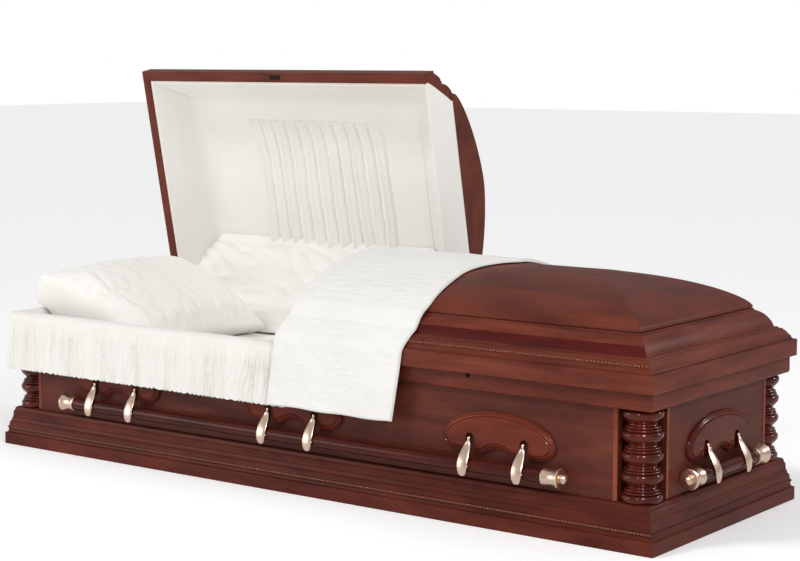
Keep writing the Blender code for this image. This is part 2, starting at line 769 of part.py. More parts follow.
def plate_mesh():
    """A moulded handle plate in (x, outward -y, z), with a round-topped slot for each arm."""
    outline = plate_outline()
    levels = [
        (0.0, GAP),
        (0.0, 0.45 * PLATE_THICKNESS),
        (PLATE_MOULDING, 0.75 * PLATE_THICKNESS),
        (2 * PLATE_MOULDING, 0.75 * PLATE_THICKNESS),
        (2.6 * PLATE_MOULDING, PLATE_THICKNESS),
    ]
    loops = []
    for inward, depth in levels:
        loops.append([(x, -depth, z) for x, z in shrink_outline(outline, inward)])
    plate = finish_mesh("plate_blank", loft(loops), WOOD)
    cutters = []
    for side in (-1, 1):
        radius = SLOT_WIDTH / 2
        arc = []
        for k in range(5):
            angle = math.pi * k / 4
            x = side * ARM_SPREAD + radius * math.cos(angle)
            arc.append((x, SLOT_TOP - radius + radius * math.sin(angle)))
        low = PLATE_BOTTOM - 0.02
        shape = [(side * ARM_SPREAD + radius, low)] + arc + [(side * ARM_SPREAD - radius, low)]
        depths = (PLATE_THICKNESS + 0.01, -0.01)
        cutter_mesh = loft([[(x, -depth, z) for x, z in shape] for depth in depths])
        cutter = finish_mesh("slot_cutter", cutter_mesh, WOOD)
        cutter.hide_render = True
        cutter.display_type = "WIRE"
        cutters.append(cutter)
        cut = plate.modifiers.new("slot", "BOOLEAN")
        cut.operation = "DIFFERENCE"
        cut.object = cutter
    scene_graph = bpy.context.evaluated_depsgraph_get()
    data = bpy.data.meshes.new_from_object(plate.evaluated_get(scene_graph))
    for helper in cutters + [plate]:
        bpy.data.objects.remove(helper, do_unlink=True)
    data.materials.clear()
    return data


def arm_mesh():
    """A flat tapered arm in (x, outward -y, z), measured from its pivot at the knuckle."""
    in_front = -(BAR_OUT - PIVOT_OUT + BAR_RADIUS + ARM_THICKNESS / 2 + GAP)
    drop = PIVOT_Z - ARM_BOTTOM
    thin = ARM_THICKNESS / 2
    stations = [
        (KNUCKLE_RADIUS, 0.0, 0.0030, 0.0030),
        (0.45 * KNUCKLE_RADIUS, 0.0, 0.0052, KNUCKLE_RADIUS),
        (-0.6 * KNUCKLE_RADIUS, 0.0, 0.0052, 0.8 * KNUCKLE_RADIUS),
        (-0.30 * drop, 0.60 * in_front, 0.60 * ARM_HALF_WIDTH, thin),
        (-0.55 * drop, 0.97 * in_front, ARM_HALF_WIDTH, thin),
        (-0.78 * drop, in_front, ARM_HALF_WIDTH, thin),
        (-0.92 * drop, in_front, 0.8 * ARM_HALF_WIDTH, thin),
        (-drop, in_front, 0.45 * ARM_HALF_WIDTH, 0.7 * thin),
    ]
    loops = []
    for z, y, half_width, half_depth in stations:
        bevel = 0.6 * half_width
        loops.append(
            [
                (half_width, y - 0.1 * half_depth, z),
                (bevel, y - half_depth, z),
                (-bevel, y - half_depth, z),
                (-half_width, y - 0.1 * half_depth, z),
                (-bevel, y + half_depth, z),
                (bevel, y + half_depth, z),
            ]
        )
    return loft(loops)


def turned_along_x(profile, sides):
    """A solid turned about the X axis from (x, radius) pairs."""
    loops = []
    for x, radius in profile:
        loop = []
        for i in range(sides):
            angle = 2 * math.pi * (i + 0.5) / sides
            loop.append((x, radius * math.cos(angle), radius * math.sin(angle)))
        loops.append(loop)
    return loft(loops)


def tip_profile():
    """A waisted metal collar with a domed knob on its outer end, from the bar outwards."""
    collar = [(0.0, 0.85), (0.36, 0.74), (0.72, 0.84), (1.0, 1.0)]
    profile = [(TIP_LENGTH * x, TIP_RADIUS * r) for x, r in collar]
    knob = [(0.12, 0.72), (0.42, 1.0), (0.80, 0.80), (1.0, 0.35)]
    profile += [(TIP_LENGTH + KNOB_LENGTH * x, KNOB_RADIUS * r) for x, r in knob]
    return profile


def build_handles():
    """The plates, and on each of the four sides a swing bar with its arms and tips on one axis."""
    plate = plate_mesh()
    arm = arm_mesh()
    arm_data = bpy.data.meshes.new("arm")
    bmesh.ops.recalc_face_normals(arm, faces=arm.faces)
    arm.to_mesh(arm_data)
    arm.free()
    arm_data.shade_smooth()
    arm_data.set_sharp_from_angle(angle=math.radians(35))
    side_places = (-HANDLE_PITCH, 0.0, HANDLE_PITCH)
    runs = [
        ("front", side_places, SIDE_BAR_HALF_LENGTH, WALL_FACE_Y, 0.0),
        ("foot_end", (0.0,), END_BAR_HALF_LENGTH, WALL_FACE_X, 0.5 * math.pi),
        ("back", side_places, SIDE_BAR_HALF_LENGTH, WALL_FACE_Y, math.pi),
        ("head_end", (0.0,), END_BAR_HALF_LENGTH, WALL_FACE_X, 1.5 * math.pi),
    ]
    for prefix, places, half_length, face, turn in runs:
        outward = Vector((math.sin(turn), -math.cos(turn), 0.0))
        along = Vector((math.cos(turn), math.sin(turn), 0.0))
        axis = bpy.data.objects.new(f"{prefix}_bar_axis", None)
        bpy.context.scene.collection.objects.link(axis)
        axis.location = outward * (face + PIVOT_OUT) + Vector((0.0, 0.0, PIVOT_Z))
        axis.rotation_euler = (0.0, 0.0, turn)
        moving = []
        for number, place in enumerate(places, 1):
            label = f"{prefix}_plate_{number}" if len(places) > 1 else f"{prefix}_plate"
            backing = add_object(label, plate.copy(), WOOD)
            backing.location = outward * face + along * place
            backing.rotation_euler = (0.0, 0.0, turn)
            for step, side in enumerate((-1, 1)):
                index = 2 * number - 1 + step
                piece = add_object(f"{prefix}_arm_{index}", arm_data.copy(), BRASS)
                piece.location = (place + side * ARM_SPREAD, 0.0, 0.0)
                moving.append(piece)
        bar_y = -(BAR_OUT - PIVOT_OUT)
        bar_z = BAR_Z - PIVOT_Z
        bar_profile = [(-half_length, BAR_RADIUS), (half_length, BAR_RADIUS)]
        bar = finish_mesh(f"{prefix}_bar", turned_along_x(bar_profile, BAR_SIDES), TURNED_WOOD, 40)
        bar.location = (0.0, bar_y, bar_z)
        moving.append(bar)
        for label, side in (("left", -1), ("right", 1)):
            profile = [(side * (half_length + GAP + x), r) for x, r in tip_profile()]
            tip = finish_mesh(f"{prefix}_tip_{label}", turned_along_x(profile, BAR_SIDES), BRASS, 50)
            tip.location = (0.0, bar_y, bar_z)
            moving.append(tip)
        for piece in moving:
            piece.parent = axis


clear_scene()
build_base()
build_walls()
build_rim()
build_columns()
build_interior()
build_pillow()
build_skirt()
build_lid("head", -1, -SPLIT_X, HEAD_LID_OPEN_DEG)
build_lid("foot", 1, SPLIT_X + SPLIT_GAP, 0.0)
build_handles()
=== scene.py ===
"""Dresses a half-couch hardwood casket: lacquered mouldings, turned columns, swing handles and crepe.

The frame gives every rigid piece its place. Each class below is one sub-assembly: its sizes are fields,
its methods build the meshes, and each mesh rides on the part of the casket that carries it.
"""
from __future__ import annotations

import json
import logging
import math
from dataclasses import dataclass, field, replace
from enum import Enum
from functools import cache
from typing import Callable, Sequence

import bmesh
import bpy
import numpy as np
from mathutils import Matrix, Vector, noise

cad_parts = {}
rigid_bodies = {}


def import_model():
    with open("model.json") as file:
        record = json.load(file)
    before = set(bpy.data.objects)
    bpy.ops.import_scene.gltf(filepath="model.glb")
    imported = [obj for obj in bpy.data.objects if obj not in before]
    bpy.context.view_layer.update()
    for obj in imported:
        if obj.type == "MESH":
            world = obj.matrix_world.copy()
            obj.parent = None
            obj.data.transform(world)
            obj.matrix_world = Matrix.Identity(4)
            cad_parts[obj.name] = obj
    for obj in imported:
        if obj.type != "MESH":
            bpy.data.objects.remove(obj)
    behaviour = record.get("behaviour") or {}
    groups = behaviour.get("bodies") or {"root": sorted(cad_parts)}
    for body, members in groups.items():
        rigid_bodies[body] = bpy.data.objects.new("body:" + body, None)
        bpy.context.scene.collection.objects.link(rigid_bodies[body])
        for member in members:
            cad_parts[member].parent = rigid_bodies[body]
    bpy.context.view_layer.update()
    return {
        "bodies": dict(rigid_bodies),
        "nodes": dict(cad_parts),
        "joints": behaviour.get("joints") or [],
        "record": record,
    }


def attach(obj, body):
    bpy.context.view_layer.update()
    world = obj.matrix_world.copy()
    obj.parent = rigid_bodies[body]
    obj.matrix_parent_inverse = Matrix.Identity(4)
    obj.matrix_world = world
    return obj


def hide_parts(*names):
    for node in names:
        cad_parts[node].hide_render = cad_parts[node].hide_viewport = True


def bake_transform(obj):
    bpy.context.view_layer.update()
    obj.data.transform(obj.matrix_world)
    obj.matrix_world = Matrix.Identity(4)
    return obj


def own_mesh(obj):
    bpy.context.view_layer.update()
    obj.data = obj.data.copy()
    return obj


LOG = logging.getLogger("casket")
MM = 0.001
# Fine gap left between pieces that meet.
JOINT_GAP = 0.0003

Pair = tuple[float, float]


class Body(Enum):
    """The rigid parts that a piece can ride on."""

    CARCASS = "body"
    HEAD_LID = "head_lid"
    FOOT_LID = "foot_lid"


class Grain(Enum):
    """Which way the fibres of a wooden piece run."""

    RUN = "run"
    ALONG_X = "x"
    ALONG_Y = "y"
    ALONG_Z = "z"


class Hollow(Enum):
    """Whether a moulded curve swells outwards or is scooped in."""

    SWELL = 1
    SCOOP = -1


@dataclass(frozen=True)
class Carcass:
    """Sizes of the casket that the dressed pieces share, in metres."""

    half_length: float = 1.067
    half_width: float = 0.3612
    base_height: float = 0.108
    rail_width: float = 0.055
    wall_inset: float = 0.032
    wall_thickness: float = 0.019
    wall_bottom: float = 0.1083
    wall_top: float = 0.324
    notch_inset: float = 0.112
    rim_inset: float = 0.0145
    rim_bottom: float = 0.3243
    rim_top: float = 0.366
    lid_bottom: float = 0.3675
    lid_half_length: float = 1.0635
    lid_half_width: float = 0.3631
    split_x: float = 0.0116
    split_gap: float = 0.0006
    hinge_y: float = 0.3512
    hinge_z: float = 0.363
    open_deg: float = 78.84
    bed_top: float = 0.285

    @property
    def wall_face_x(self) -> float:
        """Where the end walls' outer faces are."""
        return self.half_length - self.wall_inset

    @property
    def wall_face_y(self) -> float:
        """Where the long walls' outer faces are."""
        return self.half_width - self.wall_inset

    def opened(self) -> Matrix:
        """The turn about the hinge that takes the closed head lid to its open stop.

        Returns:
            The turn as a matrix.
        """
        axis = Vector((0.0, self.hinge_y, self.hinge_z))
        turn = Matrix.Rotation(math.radians(-self.open_deg), 4, "X")
        return Matrix.Translation(axis) @ turn @ Matrix.Translation(-axis)


CASKET = Carcass()


def linear_colour(hex_text: str) -> tuple[float, float, float, float]:
    """Turn an sRGB hex value such as '#6b2a1e' into a linear RGBA colour.

    Args:
        hex_text: The colour as a hash sign and six hex digits.

    Returns:
        The linear colour with an alpha of one.
    """
    parts = [int(hex_text[i : i + 2], 16) / 255 for i in (1, 3, 5)]
    lifted = [c / 12.92 if c <= 0.04045 else ((c + 0.055) / 1.055) ** 2.4 for c in parts]
    return (*lifted, 1.0)


def add_node(
    tree: bpy.types.NodeTree,
    kind: str,
    settings: dict[str, object] | None = None,
    inputs: dict[str | int, object] | None = None,
) -> bpy.types.Node:
    """Add one shader node with its settings, values and links.

    Args:
        tree: The node tree to add to.
        kind: Blender's name of the node type.
        settings: Properties to set on the node.
        inputs: Socket name or number to a plain value, or to another node's output to link.

    Returns:
        The new node.
    """
    made = tree.nodes.new(kind)
    for key, value in (settings or {}).items():
        setattr(made, key, value)
    for socket, value in (inputs or {}).items():
        if isinstance(value, bpy.types.NodeSocket):
            tree.links.new(value, made.inputs[socket])
        else:
            made.inputs[socket].default_value = value
    return made


def new_shader(name: str) -> tuple[bpy.types.Material, bpy.types.Node]:
    """Make a material that has only its plain shader.

    Args:
        name: The material's name.

    Returns:
        The material and its Principled shader.
    """
    made = bpy.data.materials.new(name)
    made.use_nodes = True
    return made, made.node_tree.nodes["Principled BSDF"]


@dataclass(frozen=True)
class LacqueredWood:
    """Close-grained cherry, stained a reddish brown and sprayed with clear lacquer.

    The stain takes unevenly, so broad darker and redder patches lie under fine dark fibres. The real fibres
    are far finer than a millimetre; they are drawn about two millimetres wide so that they show.
    """

    name: str
    dark: str = "#54241b"
    body: str = "#652e21"
    warm: str = "#743726"
    grain: Grain = Grain.RUN
    fibre_mm: float = 2.2
    fibre_length_mm: float = 130.0
    patch_mm: float = 55.0
    patch_length_mm: float = 210.0
    roughness: float = 0.38
    specular: float = 0.12
    relief: float = 0.05
    coat: float = 0.05
    coat_roughness: float = 0.14
    seed: float = 0.0

    @cache
    def material(self) -> bpy.types.Material:
        """Build the lacquered wood's nodes once and hand them out again after that.

        Returns:
            The material.
        """
        made, shader = new_shader(self.name)
        tree = made.node_tree
        place = self.place(tree)
        shift = (self.seed, 1.7 * self.seed, 0.4 * self.seed)
        layers = []
        for length, width, detail, bend in (
            (self.fibre_length_mm, self.fibre_mm, 5.0, 0.3),
            (self.patch_length_mm, self.patch_mm, 3.0, 0.6),
        ):
            scale = (1000 / length, 1000 / width, 1000 / width)
            at = add_node(
                tree, "ShaderNodeMapping", inputs={"Vector": place, "Scale": scale, "Location": shift}
            ).outputs[0]
            wanted = {"Vector": at, "Scale": 1.0, "Detail": detail, "Distortion": bend}
            layers.append(add_node(tree, "ShaderNodeTexNoise", inputs=wanted))
        fibre, patch = layers
        stain = add_node(tree, "ShaderNodeValToRGB", inputs={"Fac": patch.outputs["Fac"]})
        ramp = stain.color_ramp
        ramp.elements[0].position = 0.30
        ramp.elements[0].color = linear_colour(self.dark)
        ramp.elements[1].position = 0.72
        ramp.elements[1].color = linear_colour(self.warm)
        ramp.elements.new(0.50).color = linear_colour(self.body)
        span = {"From Min": 0.36, "From Max": 0.66, "To Min": 0.88, "To Max": 1.06}
        depth = add_node(tree, "ShaderNodeMapRange", inputs={"Value": fibre.outputs["Fac"], **span})
        tinted = add_node(
            tree,
            "ShaderNodeMix",
            {"data_type": "RGBA", "blend_type": "MULTIPLY"},
            {0: 1.0, 6: stain.outputs["Color"], 7: depth.outputs["Result"]},
        )
        tree.links.new(tinted.outputs[2], shader.inputs["Base Color"])
        low, high = self.roughness * 0.9, self.roughness * 1.12
        span = {"From Min": 0.3, "From Max": 0.7, "To Min": low, "To Max": high}
        gloss = add_node(tree, "ShaderNodeMapRange", inputs={"Value": patch.outputs["Fac"], **span})
        tree.links.new(gloss.outputs["Result"], shader.inputs["Roughness"])
        ridges = {"Height": fibre.outputs["Fac"], "Strength": self.relief, "Distance": 0.4 * MM}
        bump = add_node(tree, "ShaderNodeBump", inputs=ridges)
        tree.links.new(bump.outputs["Normal"], shader.inputs["Normal"])
        shader.inputs["IOR"].default_value = 1.5
        shader.inputs["Specular IOR Level"].default_value = self.specular
        shader.inputs["Coat Weight"].default_value = self.coat
        shader.inputs["Coat Roughness"].default_value = self.coat_roughness
        return made

    def place(self, tree: bpy.types.NodeTree) -> bpy.types.NodeSocket:
        """Coordinates in metres whose X follows the fibres.

        Args:
            tree: The material's node tree.

        Returns:
            The output socket with the coordinates.
        """
        if self.grain is Grain.RUN:
            return add_node(tree, "ShaderNodeAttribute", {"attribute_name": "run"}).outputs["Vector"]
        here = add_node(tree, "ShaderNodeTexCoord").outputs["Object"]
        if self.grain is Grain.ALONG_X:
            return here
        apart = add_node(tree, "ShaderNodeSeparateXYZ", inputs={0: here})
        order = "YXZ" if self.grain is Grain.ALONG_Y else "ZXY"
        sorted_axes = {i: apart.outputs[axis] for i, axis in enumerate(order)}
        return add_node(tree, "ShaderNodeCombineXYZ", inputs=sorted_axes).outputs[0]


@dataclass(frozen=True)
class PlatedMetal:
    """Champagne-coloured plating over die-cast metal: a warm mirror with a faint brushed haze."""

    name: str
    colour: str = "#fbe3d0"
    shade: str = "#f0cfb6"
    roughness: float = 0.3
    brush_mm: float = 0.8
    cloud_mm: float = 18.0

    @cache
    def material(self) -> bpy.types.Material:
        """Build the plated metal's nodes once and hand them out again after that.

        Returns:
            The material.
        """
        made, shader = new_shader(self.name)
        tree = made.node_tree
        here = add_node(tree, "ShaderNodeTexCoord").outputs["Object"]
        cloud, brush = (
            add_node(tree, "ShaderNodeTexNoise", inputs={"Vector": here, "Scale": 1000 / mm, "Detail": 2.0})
            for mm in (self.cloud_mm, self.brush_mm)
        )
        tones = {0: cloud.outputs["Fac"], 6: linear_colour(self.shade), 7: linear_colour(self.colour)}
        tone = add_node(tree, "ShaderNodeMix", {"data_type": "RGBA"}, tones)
        tree.links.new(tone.outputs[2], shader.inputs["Base Color"])
        spread = {"To Min": self.roughness * 0.7, "To Max": self.roughness * 1.3}
        haze = add_node(tree, "ShaderNodeMapRange", inputs={"Value": brush.outputs["Fac"], **spread})
        tree.links.new(haze.outputs["Result"], shader.inputs["Roughness"])
        shader.inputs["Metallic"].default_value = 1.0
        return made


@dataclass(frozen=True)
class Crepe:
    """Crinkled crepe cloth: matt off-white threads twisted so that the surface puckers finely."""

    name: str
    light: str = "#f0eeea"
    shade: str = "#e6e3dc"
    crinkle_mm: float = 2.4
    crinkle_length_mm: float = 2.4
    along: Grain = Grain.ALONG_X
    strength: float = 0.35
    relief_mm: float = 0.5
    sheen: float = 0.25
    thread_mm: float = 0.9
    cloud_mm: float = 140.0

    @cache
    def material(self) -> bpy.types.Material:
        """Build the cloth's nodes once and hand them out again after that.

        Returns:
            The material.
        """
        made, shader = new_shader(self.name)
        tree = made.node_tree
        here = add_node(tree, "ShaderNodeTexCoord").outputs["Object"]
        across, along = 1000 / self.crinkle_mm, 1000 / self.crinkle_length_mm
        scale = {
            Grain.ALONG_X: (along, across, across),
            Grain.ALONG_Y: (across, along, across),
            Grain.ALONG_Z: (across, across, along),
        }[self.along]
        place = add_node(tree, "ShaderNodeMapping", inputs={"Vector": here, "Scale": scale})
        crinkle = add_node(
            tree,
            "ShaderNodeTexNoise",
            inputs={"Vector": place.outputs[0], "Scale": 1.0, "Detail": 3.0, "Roughness": 0.6},
        )
        # The real threads are 0.3 mm apart; they are drawn at 0.9 mm so that they show from a step away.
        thread, cloud = (
            add_node(tree, "ShaderNodeTexNoise", inputs={"Vector": here, "Scale": 1000 / mm, "Detail": fine})
            for mm, fine in ((self.thread_mm, 1.0), (self.cloud_mm, 2.0))
        )
        tones = {0: cloud.outputs["Fac"], 6: linear_colour(self.shade), 7: linear_colour(self.light)}
        tone = add_node(tree, "ShaderNodeMix", {"data_type": "RGBA"}, tones)
        tree.links.new(tone.outputs[2], shader.inputs["Base Color"])
        height = add_node(
            tree,
            "ShaderNodeMath",
            {"operation": "MULTIPLY_ADD"},
            {0: thread.outputs["Fac"], 1: 0.25, 2: crinkle.outputs["Fac"]},
        )
        puckers = {"Height": height.outputs[0], "Strength": self.strength, "Distance": self.relief_mm * MM}
        bump = add_node(tree, "ShaderNodeBump", inputs=puckers)
        tree.links.new(bump.outputs["Normal"], shader.inputs["Normal"])
        shader.inputs["Roughness"].default_value = 0.9
        shader.inputs["Sheen Weight"].default_value = self.sheen
        shader.inputs["Sheen Roughness"].default_value = 0.5
        return made


@dataclass(frozen=True)
class PlainFinish:
    """A small plain piece with one tone and a faint mottle, such as blackened steel or bare board."""

    name: str
    colour: str
    shade: str
    roughness: float = 0.5
    metallic: float = 0.0
    mottle_mm: float = 12.0

    @cache
    def material(self) -> bpy.types.Material:
        """Build the plain finish's nodes once and hand them out again after that.

        Returns:
            The material.
        """
        made, shader = new_shader(self.name)
        tree = made.node_tree
        here = add_node(tree, "ShaderNodeTexCoord").outputs["Object"]
        mottle = add_node(
            tree, "ShaderNodeTexNoise", inputs={"Vector": here, "Scale": 1000 / self.mottle_mm, "Detail": 3.0}
        )
        tones = {0: mottle.outputs["Fac"], 6: linear_colour(self.shade), 7: linear_colour(self.colour)}
        tone = add_node(tree, "ShaderNodeMix", {"data_type": "RGBA"}, tones)
        tree.links.new(tone.outputs[2], shader.inputs["Base Color"])
        shader.inputs["Roughness"].default_value = self.roughness
        shader.inputs["Metallic"].default_value = self.metallic
        return made


Finish = LacqueredWood | PlatedMetal | Crepe | PlainFinish

# Satin lacquer on planed and moulded cherry: wide soft highlights over a patchy red-brown stain.
MOULDING = LacqueredWood("cherry moulding", patch_mm=38.0)
BASE_WOOD = LacqueredWood("cherry base moulding", "#441a12", "#532117", "#63291b", seed=4.0)
CROWN_WOOD = LacqueredWood(
    "cherry crown board", "#4f241c", "#622d20", "#703526", Grain.ALONG_X,
    patch_mm=80.0, patch_length_mm=260.0, seed=9.0,
)
HIP_WOOD = LacqueredWood(
    "cherry hip board", "#4d211a", "#5f2a1e", "#6d3224", Grain.ALONG_Y,
    patch_mm=80.0, patch_length_mm=200.0, seed=21.0,
)
WALL_WOOD = LacqueredWood("cherry side board", "#4b241e", "#582a21", "#673425", Grain.ALONG_X, seed=13.0)
END_WOOD = LacqueredWood("cherry end board", "#492018", "#55261c", "#632c20", Grain.ALONG_Y, seed=17.0)
# A thin raised strip beside each column in a paler wood: the paler tone is a painted highlight for the light
# caught on the chamfered edge there.
STRIP_PAINTED_HIGHLIGHT = LacqueredWood("corner strip with painted highlight", "#673020", "#773926", "#85442e", Grain.ALONG_Z)
# Painted shade: a darker, redder wood on the lower half of the lid's ogee, on the front run alone, as the
# dark line under the crown.
OGEE_PAINTED_SHADE = LacqueredWood(
    "ogee with painted shade", "#380905", "#490c06", "#531208", roughness=0.35, specular=0.2, coat=0.1, seed=2.0
)
# Polished gloss on turned cherry: dark, with small sharp window lights.
TURNED = LacqueredWood(
    "turned cherry under gloss", "#380f08", "#49140b", "#5a1b0c", Grain.ALONG_Z,
    roughness=0.14, specular=0.15, relief=0.0, coat=0.5, coat_roughness=0.02,
)
BAR_WOOD = LacqueredWood(
    "cherry bar under gloss", "#35110b", "#42160f", "#501c13", Grain.ALONG_X,
    roughness=0.2, relief=0.01, coat=0.2, coat_roughness=0.06,
)
END_BAR_WOOD = replace(BAR_WOOD, name="cherry end bar under gloss", grain=Grain.ALONG_Y)
# Small turned beads, paler than the moulding behind them so that each one shows: the paler tone is a painted
# highlight for the light on each bead.
PEARL_PAINTED_HIGHLIGHT = LacqueredWood("pearl bead with painted highlight", "#5f2f1f", "#74402b", "#855038", roughness=0.25, coat=0.5)
# Half gloss on the moulded plates: a lit rim on each groove.
PLATE_WOOD = LacqueredWood(
    "cherry handle plate", "#522117", "#642a1d", "#733221", Grain.ALONG_X,
    roughness=0.24, coat=0.14, coat_roughness=0.06, seed=31.0,
)
END_PLATE_WOOD = replace(
    PLATE_WOOD, name="cherry end handle plate", dark="#451710", body="#551f14", warm="#622517",
    grain=Grain.ALONG_Y, seed=33.0,
)
CHAMPAGNE = PlatedMetal("champagne plating")
# Crepe in each piece's own weave: puckers run with the cloth, long on the throw and the gathers.
THROW_CREPE = Crepe(
    "padded crepe", "#e8e6e3", "#dcdad5", crinkle_mm=3.0, crinkle_length_mm=9.0, strength=0.4
)
PILLOW_CREPE = Crepe("pillow crepe", crinkle_mm=3.0, crinkle_length_mm=7.0, strength=0.3)
SKIRT_CREPE = Crepe(
    "gathered crepe", "#e9e6e2", "#dcd9d2", crinkle_mm=2.0, crinkle_length_mm=12.0, along=Grain.ALONG_Z,
    strength=0.25,
)
LINING_CREPE = Crepe("lining crepe", "#f0eeea", "#e6e3dd", strength=0.18, relief_mm=0.3)
PIPING_CLOTH = Crepe("peach piping cloth", "#f0d9c6", "#e0c4ae", strength=0.1)
# Oil-blackened catches, satin hinge knuckles and the unfinished board under the casket.
DARK_STEEL = PlainFinish("blackened steel", "#3a302b", "#17120f", roughness=0.35, metallic=1.0)
HINGE_STEEL = PlainFinish("satin hinge steel", "#a39a90", "#857b71", roughness=0.35, metallic=1.0)
BARE_BOARD = PlainFinish("bare poplar board", "#c6ab85", "#ad9069", roughness=0.75, mottle_mm=30.0)


@dataclass
class Outline:
    """A moulding's section, drawn as straight and curved strokes of (inset, height)."""

    points: list[Pair]

    def line(self, *ends: Pair) -> Outline:
        """Straight strokes to each end in turn."""
        self.points.extend(ends)
        return self

    def curve(self, end: Pair, hollow: Hollow, fullness: float = 1.0, steps: int = 8) -> Outline:
        """A quarter-round stroke.

        Args:
            end: Where the stroke ends.
            hollow: Whether it swells outwards or is scooped in.
            fullness: 1 for a whole quarter round, 0 for a straight line.
            steps: How many short lines make the curve.

        Returns:
            The outline itself, so that strokes can follow each other.
        """
        start = self.points[-1]
        for k in range(1, steps + 1):
            t = k / steps
            slow, fast = 1 - math.cos(0.5 * math.pi * t), math.sin(0.5 * math.pi * t)
            share = (slow, fast) if hollow is Hollow.SWELL else (fast, slow)
            blend = [fullness * s + (1 - fullness) * t for s in share]
            self.points.append(tuple(a + (b - a) * s for a, b, s in zip(start, end, blend)))
        return self

    def bead(self, end: Pair, out: float, steps: int = 8) -> Outline:
        """A half-round bead that stands out to the left of the stroke.

        Args:
            end: Where the stroke ends.
            out: How far the bead stands out.
            steps: How many short lines make the bead.

        Returns:
            The outline itself.
        """
        start = self.points[-1]
        run = Vector((end[0] - start[0], end[1] - start[1]))
        normal = Vector((-run.y, run.x)).normalized()
        for k in range(1, steps + 1):
            angle = math.pi * k / steps
            t = 0.5 * (1 - math.cos(angle))
            lift = out * math.sin(angle)
            moved = (run.x * t + normal.x * lift, run.y * t + normal.y * lift)
            self.points.append((start[0] + moved[0], start[1] + moved[1]))
        return self

    def lengths(self) -> np.ndarray:
        """Distance along the section to each point."""
        steps = np.diff(np.array(self.points), axis=0)
        return np.concatenate([[0.0], np.cumsum(np.hypot(steps[:, 0], steps[:, 1]))])


def through(points: Sequence[Sequence[float]], steps: int) -> np.ndarray:
    """A smooth line through a few points, resampled evenly along its length.

    Args:
        points: The points that the line passes through, in any number of dimensions.
        steps: How many points to return.

    Returns:
        An array of shape (steps, dimensions).
    """
    knots = np.array(points, dtype=float)
    padded = np.vstack([2 * knots[0] - knots[1], knots, 2 * knots[-1] - knots[-2]])
    fine = []
    for a, b, c, d in zip(padded, padded[1:], padded[2:], padded[3:]):
        for t in np.linspace(0, 1, 16, endpoint=False):
            square, cube = 2 * a - 5 * b + 4 * c - d, 3 * b - a - 3 * c + d
            fine.append(0.5 * (2 * b + (c - a) * t + square * t**2 + cube * t**3))
    fine.append(knots[-1])
    line = np.array(fine)
    lengths = np.concatenate([[0.0], np.cumsum(np.linalg.norm(np.diff(line, axis=0), axis=1))])
    wanted = np.linspace(0, lengths[-1], steps)
    return np.stack([np.interp(wanted, lengths, line[:, i]) for i in range(line.shape[1])], axis=1)


def directions(line: np.ndarray) -> np.ndarray:
    """Unit vectors along a line of points, one at each point.

    Args:
        line: Array of shape (points, dimensions).

    Returns:
        An array of the same shape.
    """
    made = np.gradient(line, axis=0)
    return made / np.linalg.norm(made, axis=1)[:, None]


def level(x: np.ndarray, y: np.ndarray) -> np.ndarray:
    """Points at height zero, as places to read noise from."""
    return np.stack([x, y, 0 * x], axis=-1)


def ripple(points: np.ndarray, scale: Sequence[float], seed: float = 0.0) -> np.ndarray:
    """Smooth noise from about -1 to 1 at each point.

    Args:
        points: Array whose last axis holds x, y and z.
        scale: Waves per metre along x, y and z.
        seed: Shifts the noise to another part of its field.

    Returns:
        An array of the points' shape without its last axis.
    """
    flat = points.reshape(-1, 3) * np.array(scale) + seed
    values = [noise.noise(Vector(p)) for p in flat]
    return np.array(values).reshape(points.shape[:-1])


